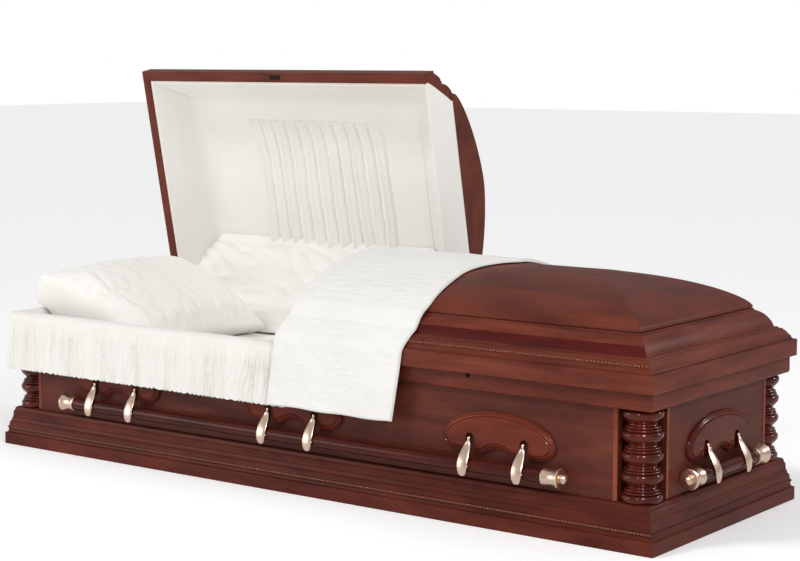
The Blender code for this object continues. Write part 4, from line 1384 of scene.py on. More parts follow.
    def crown(self) -> None:
        """The hipped crown with a rounded lip, and the crescent header at its cut end."""
        size = self.size
        half_width = size.lid_half_width - self.crown_inset
        end = size.lid_half_length - self.crown_inset
        bottom = size.lid_bottom + self.seat + JOINT_GAP
        edge = bottom + self.crown_edge
        outer = self.contours(self.cut, end, half_width, edge, self.crown_rise)
        lip = []
        for grow, up in (
            (-0.004, 0.0), (-0.0005, 0.0), (0.0012, 0.0012), (0.0022, 0.0035), (0.0022, 0.0055),
            (0.0012, 0.0078),
        ):
            lip.append(self.contours(self.cut, end + grow, half_width + grow, bottom + up, 0.0)[0])
        inner = self.contours(
            self.cut + self.header, end - self.crown_shell, half_width - self.crown_shell, bottom,
            edge + self.crown_rise - self.crown_shell - bottom,
        )
        skin = Skin()
        shell = np.vstack([np.array(lip), outer])
        hip = 12 + 7
        last = shell.shape[1] - 1
        across = np.arange(shell.shape[0])[:, None] * 0.008
        for low, high, slot in ((0, hip, 0), (hip, last - hip, 1), (last - hip, last, 0)):
            part = shell[:, low : high + 1]
            runs = np.stack([part[:, :, 0], np.broadcast_to(across, part.shape[:2])], axis=-1)
            skin.grid(part, runs, slot)
        skin.grid(inner)
        foot_y, foot_z = size.lid_half_width - self.crown_foot - JOINT_GAP, bottom - self.header_drop
        for x, rows in ((self.cut, shell), (self.cut + self.header, inner)):
            corners = [(x, foot_y, bottom), (x, foot_y, foot_z), (x, -foot_y, foot_z), (x, -foot_y, bottom)]
            skin.cap(np.vstack([rows[:, 0], rows[-2::-1, -1], corners]))
        edges = (self.cut, self.cut + self.header)
        skin.grid(np.array([[(x, y, foot_z) for x in edges] for y in (-foot_y, foot_y)]))
        made = skin.build(f"{self.prefix}_lid_crown_board", [CROWN_WOOD, HIP_WOOD], 24, self.placed())
        settle(made, self.body, "wood", f"{self.prefix}_lid_crown")

    def lining_rect(self, s: np.ndarray) -> tuple[np.ndarray, np.ndarray, np.ndarray]:
        """The lining's coved border, from its mouth to the flat panel.

        Args:
            s: Shares of the way, 0 at the mouth and 1 at the panel.

        Returns:
            Inset, height and distance from the cut for each share.
        """
        knots = [
            (0.0365, 0.0015, 0.004), (0.049, 0.024, 0.012), (0.074, 0.057, 0.035),
            (0.094, 0.085, 0.060), (0.118, 0.100, 0.085), (0.166, 0.1085, 0.116),
        ]
        line = through(knots, 41)
        share = np.linspace(0, 1, 41)
        return tuple(np.interp(s, share, line[:, i]) for i in range(3))

    def pleats(self, x: np.ndarray, y: np.ndarray) -> np.ndarray:
        """The panel's soft upright pleats.

        Args:
            x: Each point's distance along the lid.
            y: Each point's distance across it.

        Returns:
            How far the cloth stands out at each point.
        """
        first, last, count = 0.232, 0.730, 11
        pitch = (last - first) / count
        x = x - 0.022 * np.exp((-0.19 - y) / 0.035)
        spots = level(x, y)
        wander = 0.16 * ripple(spots, (6.0, 4.0, 1.0), 3.0) + 0.10 * ripple(spots, (25.0, 9.0, 1.0), 8.0)
        phase = (x - first) / pitch + wander
        inside = np.clip(np.minimum(phase, count - phase) / 0.12, 0, 1)
        fold = np.abs(np.sin(math.pi * phase)) ** 0.95
        lean = 0.75 + 0.25 * np.cos(2 * math.pi * phase + 0.9)
        size = 0.0215 * (0.85 + 0.3 * ripple(spots, (20.0, 2.0, 1.0), 12.0))
        return inside * fold * lean * size

    def lining(self) -> None:
        """The fabric tray: coved borders with mitred corners round a flat panel, pleated in the middle."""
        size = self.size
        length, width, seam = size.lid_half_length, size.lid_half_width, size.lid_bottom
        skin = Skin()
        s = np.linspace(0, 1, 37)
        inset, z, from_cut = self.lining_rect(s)
        low_x, high_x, half = self.cut + from_cut, length - inset, width - inset
        corners = [(low_x, -half), (high_x, -half), (high_x, half), (low_x, half)]
        for k, count in enumerate((150, 70, 150, 70)):
            (ax, ay), (bx, by) = corners[k], corners[(k + 1) % 4]
            u = np.linspace(0, 1, count)[None, :]
            x, y = ax[:, None] + (bx - ax)[:, None] * u, ay[:, None] + (by - ay)[:, None] * u
            spots = level(x, y)
            soft = 0.0022 * ripple(spots, (9.0, 9.0, 1.0), 5.0)
            soft += 0.0006 * ripple(spots, (40.0, 40.0, 1.0), 2.0)
            fade = np.sin(math.pi * s)[:, None]
            skin.grid(np.stack([x, y, seam + z[:, None] - soft * fade], axis=-1))
        columns, rows = (321, 90) if self.pleated else (81, 36)
        across = np.linspace(-half[-1], half[-1], rows)
        x, y = np.meshgrid(np.linspace(low_x[-1], high_x[-1], columns), across)
        to_edge = np.minimum.reduce([x - low_x[-1], high_x[-1] - x, y + half[-1], half[-1] - y])
        spots = level(x, y)
        drop = 0.0012 * np.clip(to_edge / 0.01, 0, 1) * ripple(spots, (12.0, 12.0, 1.0), 7.0)
        drop += 0.0016 * np.exp(-((to_edge - 0.004) / 0.003) ** 2)
        if self.pleated:
            drop += self.pleats(x, y) * np.clip(to_edge / 0.012, 0.0, 1) ** 0.5
        skin.grid(np.stack([x, y, seam + z[-1] - drop * np.clip(to_edge / 0.002, 0, 1)], axis=-1))
        self.lining_back(skin, (low_x[0], high_x[0], half[0], seam + z[0]))
        made = skin.build(f"{self.prefix}_lid_tray", [LINING_CREPE], 55, self.placed())
        settle(made, self.body, "crepe", f"{self.prefix}_lid_lining")

    def lining_back(self, skin: Skin, mouth: tuple[float, float, float, float]) -> None:
        """The tray's hidden back, from its mouth round to a flat board behind the panel.

        Args:
            skin: What to add it to.
            mouth: The mouth's two ends, half of its width, and its height.
        """
        low_x, high_x, half, seam_z = mouth
        size = self.size
        length, width, seam = size.lid_half_length, size.lid_half_width, size.lid_bottom
        knots = [
            (0.0296, 0.0015), (0.0276, 0.0105), (0.0406, 0.0305), (0.0646, 0.0635), (0.0836, 0.0890),
            (0.1006, 0.1105), (0.1009, 0.1155),
        ]
        boxes = [(low_x, high_x, half, seam_z)]
        boxes += [(self.cut + JOINT_GAP, length - d, width - d, seam + z) for d, z in knots]
        rings = [[(x0, -y, z), (x1, -y, z), (x1, y, z), (x0, y, z)] for x0, x1, y, z in boxes]
        grid = np.array(rings)
        skin.grid(grid, wrap=True)
        skin.cap(grid[-1])

    def piping(self) -> None:
        """A thin covered cord along every edge where cloth meets wood."""
        size = self.size
        length, width, seam = size.lid_half_length, size.lid_half_width, size.lid_bottom
        radius, inset, height = 0.0014, 0.0325, seam + 0.0018
        near, far, side = self.cut + 0.0015, length - inset, width - inset
        rim = [(near, -side, height), (far, -side, height), (far, side, height), (near, side, height)]
        arch = [(0.0280, 0.0085), (0.040, 0.0300), (0.064, 0.0630), (0.083, 0.0885), (0.1000, 0.1130)]
        left = [(self.cut + radius, d - width, seam + z) for d, z in arch]
        right = [(x, -y, z) for x, y, z in reversed(left)]
        skin = Skin()
        for path in (rim, left + right):
            tube(skin, np.array(path), radius, 8)
        made = skin.build(f"{self.prefix}_lid_piping", [PIPING_CLOTH], 80, self.placed())
        settle(made, self.body, "crepe")

    def hinge(self) -> None:
        """The long hinge knuckle, parted by fine saw cuts about 50 mm apart."""
        size = self.size
        low, high = self.cut + 0.02, size.lid_half_length - 0.06
        line: list[Pair] = []
        count = int((high - low) / 0.05)
        for i in range(count):
            a, b = low + (high - low) * i / count, low + (high - low) * (i + 1) / count
            line += [(a + 0.0004, 0.0036), (a + 0.0010, 0.0042), (b - 0.0010, 0.0042), (b - 0.0004, 0.0036)]
        grid = turned(line, 20) + np.array([0.0, size.hinge_y, size.hinge_z])
        made = Skin().bar(grid).build(f"{self.prefix}_lid_knuckle", [HINGE_STEEL], 50, self.placed())
        settle(made, self.body, "hinge_metal", f"{self.prefix}_lid_hinge")

    def build(self) -> None:
        """Make every piece of this half."""
        self.frame()
        self.crown()
        self.lining()
        self.piping()
        self.hinge()


def tube(skin: Skin, path: np.ndarray, radius: float, sides: int) -> None:
    """Add a round tube along a path with plain mitres at its corners.

    Args:
        skin: What to add it to.
        path: Array of shape (points, 3).
        radius: The tube's radius.
        sides: How many faces go round it.
    """
    runs = np.diff(path, axis=0)
    runs /= np.linalg.norm(runs, axis=1)[:, None]
    tangents = np.vstack([runs[:1], runs[:-1] + runs[1:], runs[-1:]])
    tangents /= np.linalg.norm(tangents, axis=1)[:, None]
    loops = []
    for point, tangent in zip(path, tangents):
        side = np.cross(tangent, (0.23, 0.41, 0.88))
        side /= np.linalg.norm(side)
        up = np.cross(side, tangent)
        angles = 2 * math.pi * np.arange(sides) / sides
        loops.append(point + radius * (np.outer(np.cos(angles), side) + np.outer(np.sin(angles), up)))
    skin.bar(np.array(loops))


@dataclass
class Fastenings:
    """The catch on the head lid's front edge and the key catch in the foot half's seam."""

    size: Carcass = CASKET
    latch_x: float = -0.53
    latch_inset: float = 0.015
    key_x: float = 0.5515

    def build(self) -> None:
        """Set both catches."""
        size = self.size
        y = self.latch_inset - size.lid_half_width
        skin = Skin()
        for half_x, half_y, low, high, shift in (
            (0.020, 0.007, -0.0010, 0.0002, 0.0),
            (0.006, 0.004, 0.0, 0.0004, 0.004),
        ):
            centre = (self.latch_x + shift, y, size.lid_bottom - 0.5 * (low + high))
            block(skin, centre, (half_x, half_y, 0.5 * (high - low)))
        made = skin.build("head_lid_catch", [DARK_STEEL], 30, size.opened())
        settle(made, Body.HEAD_LID, "hinge_metal")
        face = size.half_width - size.rim_inset
        dial = turned([(0.0, 0.0056), (0.0030, 0.0056), (0.0042, 0.0046), (0.0046, 0.0004)], 24)
        spot = Matrix.Translation((self.key_x, -face, size.rim_top - 0.0062))
        knob = Skin().bar(dial).build(
            "foot_key_catch", [DARK_STEEL], 30, spot @ Matrix.Rotation(-0.5 * math.pi, 4, "Z")
        )
        settle(knob, Body.CARCASS, "hinge_metal")
        arm = Skin()
        block(arm, (self.key_x - 0.020, -face - 0.0012, size.rim_top - 0.0016), (0.020, 0.0012, 0.0014))
        settle(arm.build("foot_catch_lever", [DARK_STEEL], 30), Body.CARCASS, "hinge_metal")


def block(skin: Skin, centre: Sequence[float], half: Sequence[float], slot: int = 0) -> None:
    """Add a small block with slightly eased edges.

    Args:
        skin: What to add it to.
        centre: The block's middle.
        half: Half of its size along each axis.
        slot: Number of the material slot.
    """
    ease = 0.25 * min(half)
    rings = []
    for z, inward in ((-half[2], ease), (ease - half[2], 0.0), (half[2] - ease, 0.0), (half[2], ease)):
        x, y = half[0] - inward, half[1] - inward
        rings.append([(-x, -y, z), (x, -y, z), (x, y, z), (-x, y, z)])
    skin.bar(np.array(rings) + np.array(centre), slot)


@dataclass
class Bedding:
    """The body's shirred lining, the mattress and the pillow."""

    size: Carcass = CASKET
    lining_thickness: float = 0.010
    pillow_length: float = 0.44
    pillow_width: float = 0.57
    pillow_x: float = -0.797
    pillow_z: float = 0.395
    pillow_tilt_deg: float = 25.0
    overhang: float = 0.046

    def ring(self, inset: float, step: float) -> np.ndarray:
        """Points round a rectangle at an inset, its four corners stepped in to pass the columns.

        Args:
            inset: Distance in from the base's outline.
            step: How far each corner is stepped.

        Returns:
            Array of shape (points, 2), from the front corner at the foot end round to it again.
        """
        x, y = self.size.half_length - inset, self.size.half_width - inset
        corner = [(x, y - step), (x - step, y - step), (x - step, y)]
        plan = [(a, -b) for a, b in reversed(corner)] + corner
        plan += [(-a, b) for a, b in reversed(corner)] + [(-a, -b) for a, b in corner]
        counts = ((10, 10, 60) + (10, 10, 170)) * 2
        made = []
        for (ax, ay), (bx, by), count in zip(plan, plan[1:] + plan[:1], counts):
            steps = np.linspace(0, 1, count, endpoint=False)
            made += [(ax + (bx - ax) * t, ay + (by - ay) * t) for t in steps]
        return np.array(made)

    def lining(self) -> None:
        """A gathered band of crepe round the inside of the body."""
        size = self.size
        outer = size.wall_inset + size.wall_thickness + JOINT_GAP
        inner = outer + self.lining_thickness
        knots = [
            (outer, 0.300), (outer, 0.330), (outer + 0.002, 0.3395), (inner - 0.002, 0.3405),
            (inner + 0.001, 0.333), (inner, 0.310), (inner, 0.286), (inner, 0.262),
        ]
        section = through(knots, 26)
        grid = []
        for d, z in section:
            ring = self.ring(d, 0.0800 * float(np.clip((0.3385 - z) / 0.004, 0, 1)))
            grid.append(np.column_stack([ring, np.full(len(ring), z)]))
        points = np.array(grid)
        weight = np.clip((section[:, 0] - outer) / self.lining_thickness, 0, 1)[:, None]
        fold = ripple(points, (70.0, 70.0, 5.0), 1.0) * 0.0018 * weight
        points[:, :, 0] -= np.sign(points[:, :, 0]) * fold * (np.abs(points[:, :, 0]) > 0.98)
        points[:, :, 1] -= np.sign(points[:, :, 1]) * fold * (np.abs(points[:, :, 1]) > 0.28)
        skin = Skin().grid(points, wrap=True).grid(points[[0, -1]], wrap=True)
        made = skin.build("body_shirring", [SKIRT_CREPE], 80)
        settle(made, Body.CARCASS, "crepe", "body_lining")

    def mattress(self) -> None:
        """A shallow padded mattress with a soft rolled edge."""
        size = self.size
        reach = size.wall_inset + size.wall_thickness + self.lining_thickness + 0.0012
        half_x, half_y, low = size.half_length - reach, size.half_width - reach, size.bed_top - 0.11
        x, y = np.meshgrid(np.linspace(-half_x, half_x, 180), np.linspace(-half_y, half_y, 60))
        to_edge = np.minimum(half_x - np.abs(x), half_y - np.abs(y))
        roll = np.clip(to_edge / 0.035, 0, 1)
        spots = level(x, y)
        dips = 0.5 + 0.5 * ripple(spots, (7.0, 7.0, 1.0), 4.0)
        top = size.bed_top - 0.022 * (1 - roll) ** 2.2 - 0.0030 * dips * roll
        notch = 0.1419
        corner = (np.abs(x) > size.half_length - notch) & (np.abs(y) > size.half_width - notch)
        x = np.where(corner, np.sign(x) * (size.half_length - notch), x)
        grid = np.stack([x, y, top], axis=-1)
        skin = Skin().grid(grid)
        under = grid.copy()
        under[:, :, 2] = low
        skin.grid(under[:: len(under) - 1, :][:, ::179])
        for edge in (0, -1):
            skin.grid(np.stack([grid[edge], under[edge]]))
            skin.grid(np.stack([grid[:, edge], under[:, edge]]))
        made = skin.build("mattress_pad", [LINING_CREPE], 80)
        settle(made, Body.CARCASS, "crepe", "mattress")

    def pillow(self) -> None:
        """A plump pillow, blown up by cloth simulation and then laid against the head end."""
        columns, rows = 64, 84
        scale = 0.96
        skin = Skin()
        u, v = np.meshgrid(np.linspace(-1, 1, columns), np.linspace(-1, 1, rows), indexing="ij")
        waist = 0.02
        for side, fullness, depth, power in ((1, 0.40, 0.075, 2), (-1, 0.22, 0.135, 8)):
            round_off = np.clip((1 - np.abs(u) ** power) * (1 - np.abs(v) ** power), 0, 1)
            x = u * (1 - waist * (1 - v**2)) * 0.5 * self.pillow_length * scale
            y = v * (1 - waist * (1 - u**2)) * 0.5 * self.pillow_width * scale
            z = side * depth * round_off**fullness
            skin.grid(np.stack([x, y, z], axis=-1))
        made = skin.build("pillow_stuffed", [PILLOW_CREPE], 80)
        rest = vertices_of(made)
        inflate(made, pressure=4.0, cap=0.014)
        swollen = vertices_of(made)
        self.pillow_creases(swollen, rest)
        tilt = math.radians(self.pillow_tilt_deg)
        turn = Matrix.Rotation(tilt, 4, "Y")
        laid = swollen @ np.array(turn.to_3x3()).T + np.array([self.pillow_x, 0.0, self.pillow_z])
        floor, press = self.size.bed_top + 0.0005, 0.012
        pressed = floor + press * np.exp((laid[:, 2] - floor - press) / 0.03)
        laid[:, 2] = np.where(laid[:, 2] < floor + press, pressed, laid[:, 2])
        laid[:, 0] = np.clip(laid[:, 0], -0.9965, None)
        reach = np.clip((-0.90 - laid[:, 0]) / 0.07, 0, 1) * np.clip((laid[:, 2] - 0.386) / 0.012, 0, 1)
        laid[:, 0] -= self.overhang * reach * np.clip((0.56 - laid[:, 2]) / 0.13, 0, 1)
        laid[:, 1] = np.clip(laid[:, 1], -0.2955, 0.2955)
        made.data.vertices.foreach_set("co", laid.ravel())
        finer = made.modifiers.new("finer", "SUBSURF")
        finer.levels = 1
        finer.render_levels = 1
        settle_modifiers(made)
        settle(made, Body.CARCASS, "crepe", "pillow")
        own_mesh(made)

    def pillow_creases(self, points: np.ndarray, rest: np.ndarray) -> None:
        """Press soft creases, strongest near the seams, into the stuffed pillow.

        Args:
            points: The stuffed pillow's points, changed in place.
            rest: The same points before it was stuffed.
        """
        half_x, half_y = 0.5 * self.pillow_length, 0.5 * self.pillow_width
        near_edge = np.maximum(np.abs(rest[:, 0]) / half_x, np.abs(rest[:, 1]) / half_y)
        spots = rest.copy()
        spots[:, 2] *= 0.3
        bent = spots + 0.02 * np.stack([ripple(spots, (6, 6, 6), s) for s in (1.0, 5.0, 9.0)], axis=1)
        long_folds = 1 - np.abs(ripple(bent, (9.0, 26.0, 10.0), 2.0)) * 2.2
        fine_folds = 1 - np.abs(ripple(bent, (22.0, 60.0, 20.0), 6.0)) * 2.2
        depth = 0.0062 * np.clip(long_folds, 0, 1) ** 2 + 0.0022 * np.clip(fine_folds, 0, 1) ** 2
        strength = 0.45 + 0.55 * np.clip((near_edge - 0.35) / 0.4, 0, 1)
        seam = np.clip((1.0 - near_edge) / 0.08, 0, 1)
        points[:, 2] -= np.sign(rest[:, 2]) * depth * strength * seam

    def build(self) -> None:
        """Make the soft pieces inside the body."""
        self.lining()
        self.mattress()
        self.pillow()


def vertices_of(piece: bpy.types.Object) -> np.ndarray:
    """An object's points as an array of shape (points, 3)."""
    return np.array([v.co[:] for v in piece.data.vertices])


def inflate(piece: bpy.types.Object, pressure: float, cap: float) -> None:
    """Blow a closed cloth up with a short simulation and keep the result in its mesh.

    Args:
        piece: A closed mesh.
        pressure: Pressure inside it.
        cap: The furthest that a point may move, in metres.
    """
    before = vertices_of(piece)
    cloth = piece.modifiers.new("stuffing", "CLOTH")
    cloth.settings.quality = 5
    cloth.settings.mass = 0.3
    cloth.settings.tension_stiffness = 15
    cloth.settings.compression_stiffness = 8
    cloth.settings.shear_stiffness = 5
    cloth.settings.bending_stiffness = 0.15
    cloth.settings.use_pressure = True
    cloth.settings.uniform_pressure_force = pressure
    cloth.settings.effector_weights.gravity = 0.0
    cloth.collision_settings.use_collision = False
    last = 20
    cloth.point_cache.frame_start = 1
    cloth.point_cache.frame_end = last
    for frame in range(1, last + 1):
        bpy.context.scene.frame_set(frame)
    graph = bpy.context.evaluated_depsgraph_get()
    swollen = vertices_of(piece.evaluated_get(graph))
    piece.modifiers.clear()
    bpy.context.scene.frame_set(1)
    move = swollen - before
    far = np.linalg.norm(move, axis=1)
    move *= np.minimum(1.0, cap / np.maximum(far, 1e-9))[:, None]
    piece.data.vertices.foreach_set("co", (before + move).ravel())


def settle_modifiers(piece: bpy.types.Object) -> None:
    """Bake an object's modifiers into its mesh.

    Args:
        piece: The object, which keeps no modifier.
    """
    graph = bpy.context.evaluated_depsgraph_get()
    data = bpy.data.meshes.new_from_object(piece.evaluated_get(graph))
    piece.modifiers.clear()
    piece.data = data


@dataclass
class Skirt:
    """The gathered crepe skirt: tucked inside the rail, rolled over it and hung down outside."""

    size: Carcass = CASKET
    hem: float = 0.2225
    corner: float = 0.013
    end_x: float = -0.0034
    back_y: float = 0.306
    thickness: float = 0.0024
    gather: float = 0.0165
    length: float = 1.72
    reference: float = 0.013

    def plan(self, inset: np.ndarray, u: np.ndarray) -> np.ndarray:
        """Places in plan along the rail.

        Args:
            inset: Distance in from the base's outline, for each row.
            u: Share of the way from the back to the front end, for each column.

        Returns:
            Array of shape (rows, columns, 2).
        """
        size, reference = self.size, self.reference
        length, width = size.half_length, size.half_width
        radius = np.maximum(0.001, self.corner - (inset - reference))
        made = np.zeros((len(inset), len(u), 2))
        side = self.back_y + width - reference - self.corner
        arc = 0.5 * math.pi * self.corner
        front = length - reference - self.corner + self.end_x
        total = side + arc + front
        walk = u * total
        for i, (d, r) in enumerate(zip(inset, radius)):
            corner_x, corner_y = -(length - d) + r, -(width - d) + r
            share = np.clip(walk / side, 0, 1)
            angle = np.clip((walk - side) / arc, 0, 1) * 0.5 * math.pi
            along = np.clip((walk - side - arc) / front, 0, 1)
            x = np.where(walk < side, -(length - d), corner_x - r * np.cos(angle))
            straight = self.back_y + (corner_y - self.back_y) * share
            y = np.where(walk < side, straight, corner_y - r * np.sin(angle))
            x = np.where(walk > side + arc, corner_x + (self.end_x - corner_x) * along, x)
            made[i] = np.stack([x, y], axis=-1)
        return made

    def section(self) -> np.ndarray:
        """The cloth's outer face, from its inside edge over the roll to the hem.

        Returns:
            Array of (inset, height) rows.
        """
        inner = self.size.wall_inset + self.size.wall_thickness + JOINT_GAP
        top = self.size.rim_top
        knots = [
            (inner + 0.0060, 0.3418), (inner + 0.0066, top - 0.006), (inner + 0.004, top + 0.0095),
            (inner - 0.012, top + 0.0155), (0.027, top + 0.0165), (0.0110, top + 0.0125),
            (0.0045, top + 0.0012), (0.0020, 0.335), (0.0005, 0.300), (-0.0010, 0.262), (-0.0022, self.hem),
        ]
        return through(knots, 74)

    def build(self) -> None:
        size = self.size
        section = self.section()
        u = np.linspace(0, 1, 680)
        inset, z = section[:, 0], section[:, 1]
        plan = self.plan(inset, u)
        tangent = directions(section)
        out, up = -tangent[:, 1], tangent[:, 0]
        walk = (u * self.length)[None, :]
        drop = np.clip((size.rim_top + 0.012 - z) / 0.05, 0, 1) * (inset < 0.02)
        spots = np.stack(np.broadcast_arrays(walk, z[:, None] * 0.35, 0 * walk), axis=-1)
        wander = 1.5 * ripple(spots, (11.0, 22.0, 1.0), 2.0) + 0.55 * ripple(spots, (38.0, 30.0, 1.0), 7.0)
        fold = 0.5 + 0.5 * np.sin(2 * math.pi * (walk / self.gather + wander))
        size_of = 0.75 + 0.4 * np.clip(0.5 + ripple(spots, (30.0, 9.0, 1.0), 11.0), 0, 1)
        big = np.clip((walk - 1.50) / 0.15, 0, 1)
        relief = 0.0050 * fold**0.8 * size_of * (1 + 0.5 * big)
        puckers = 0.0012 * ripple(spots, (60.0, 60.0, 1.0), 17.0)
        drop = drop[:, None]
        on_roll = (1 - drop) * (z > size.rim_top)[:, None]
        lift = relief * drop * (0.55 + 0.45 * drop) + puckers * on_roll - 0.0022 * drop
        face = self.lifted(section, plan, out, up, lift)
        hang = np.clip((size.rim_top - z) / (size.rim_top - self.hem), 0, 1) * (inset < 0.02)
        hang = hang[:, None]
        face[:, :, 2] += hang**4 * 0.0052 * (fold * size_of - 0.4)
        back = self.lifted(section, plan, out, up, np.maximum(lift - self.thickness, -self.thickness))
        back[:, :, 2] = np.where(hang > 0.5, face[:, :, 2], back[:, :, 2])
        at_rail = int(np.argmax((z < size.rim_top + 0.0004) & (inset < 0.02)))
        parts = []
        for name, rows in (("skirt_roll", slice(0, at_rail + 1)), ("skirt_hang", slice(at_rail, len(z)))):
            made = Skin().cloth(face[rows], back[rows]).build(name, [SKIRT_CREPE], 80)
            settle(made, Body.CARCASS, "crepe", "skirt")
            parts.append(made)
        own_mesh(parts[0])

    def lifted(
        self, section: np.ndarray, plan: np.ndarray, out: np.ndarray, up: np.ndarray, lift: np.ndarray
    ) -> np.ndarray:
        """Points moved along the section's own normal, in the plane across the rail.

        Args:
            section: The cloth's section as (inset, height) rows.
            plan: Each point's place in plan.
            out: The normal's part away from the casket, for each row.
            up: The normal's upward part, for each row.
            lift: How far to move each point.

        Returns:
            Array of shape (rows, columns, 3).
        """
        made = np.zeros((*lift.shape, 3))
        step = 1e-4
        outwards = (self.plan(section[:, 0] - step, np.linspace(0, 1, lift.shape[1])) - plan) / step
        made[:, :, :2] = plan + outwards * (out[:, None] * lift)[:, :, None]
        made[:, :, 2] = section[:, 1][:, None] + up[:, None] * lift
        return made


@dataclass
class Throw:
    """The padded crepe throw laid across the crown and hung down the front."""

    size: Carcass = CASKET
    thickness: float = 0.010
    hem: float = 0.225
    left: float = -0.015
    left_at_hem: float = -0.060
    right: float = 0.390
    right_at_hem: float = 0.342
    right_at_ridge: float = 0.475
    ridge_reach: float = 0.14
    back: float = 0.190
    clearance: float = 0.004

    def path(self, lid: LidHalf) -> np.ndarray:
        """The throw's underside, from the hem over the mouldings and across the crown.

        Args:
            lid: The closed half of the lid that carries it.

        Returns:
            Array of (y, z) rows.
        """
        size = self.size
        out, seam = size.lid_half_width + self.clearance, size.lid_bottom
        half_width = size.lid_half_width - lid.crown_inset
        low = seam + lid.seat + JOINT_GAP + lid.crown_edge
        knots = [(-out - 0.0005, self.hem), (-out - 0.001, 0.30), (-out, seam), (-out, seam + 0.033)]
        for d, z in ((0.003, 0.0475), (0.026, 0.0715), (0.042, 0.0850), (0.060, 0.1165), (0.080, 0.1335)):
            knots.append((d - size.lid_half_width, seam + z))
        for t in (0.97, 0.89, 0.77, 0.6, 0.4, 0.2, 0.0, -0.2, -0.4, -0.6):
            y = -half_width * t
            if y < self.back:
                knots.append((y, lid.height(abs(t), low, lid.crown_rise) + self.clearance - 0.001))
        return through(knots, 226)

    def build(self, lid: LidHalf) -> None:
        """Args:
            lid: The closed half of the lid that carries it.
        """
        path = self.path(lid)
        tangent = directions(path)
        normal = np.stack([-tangent[:, 1], tangent[:, 0]], axis=1)
        share = np.linspace(0, 1, len(path))
        hem = np.clip(1 - share / 0.42, 0, 1) ** 1.3
        crest = np.clip(1 + path[:, 0] / self.ridge_reach, 0, 1) ** 2
        left = self.left + (self.left_at_hem - self.left) * hem
        right = self.right + (self.right_at_hem - self.right) * hem
        right = right + (self.right_at_ridge - self.right) * crest
        u = np.linspace(0, 1, 132)
        x = left[:, None] + (right - left)[:, None] * u
        y, z = np.broadcast_to(path[:, :1], x.shape), np.broadcast_to(path[:, 1:], x.shape)
        along = np.broadcast_to(share[:, None], x.shape)
        flat = level(x, along)
        bend = flat + level(0 * x, 0.010 * ripple(flat, (9.0, 5.0, 1.0), 3.0))
        crinkle = 1 - 2.0 * np.abs(ripple(bend, (15.0, 62.0, 1.0), 1.0))
        finer = 1 - 2.0 * np.abs(ripple(bend, (36.0, 120.0, 1.0), 9.0))
        slant = level(x + 0.8 * along, along - 0.5 * x)
        drape = 1 - 1.8 * np.abs(ripple(slant, (16.0, 7.0, 1.0), 5.0))
        low = np.clip(1 - share / 0.45, 0, 1)[:, None]
        relief = 0.0021 * np.clip(crinkle, 0, 1) + 0.0009 * np.clip(finer, 0, 1)
        relief = relief * (1 - 0.55 * low) + 0.0036 * low * np.clip(drape, 0, 1) ** 1.5
        to_side = np.minimum(x - left[:, None], right[:, None] - x)
        to_end = np.minimum(share, 1 - share)[:, None] * 1.05
        edge = np.clip(np.minimum(to_side, to_end) / 0.012, 0, 1)
        body = self.thickness * np.sqrt(1 - (1 - edge) ** 2) * 0.92
        rise = body - relief * edge + 0.0012
        top = np.stack([x, y + normal[:, :1] * rise, z + normal[:, 1:] * rise], axis=-1)
        wave = np.sin(17.0 * x + 1.3) * 0.5 + np.sin(41.0 * x)
        base = np.stack([x, y, z], axis=-1)
        for side in (top, base):
            side[:, :, 2] += 0.0012 * wave * np.clip(1 - share / 0.06, 0, 1)[:, None]
        made = Skin().cloth(top, base).build("padded_throw", [THROW_CREPE], 80)
        settle(made, Body.FOOT_LID, "crepe", "throw")
        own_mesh(made)


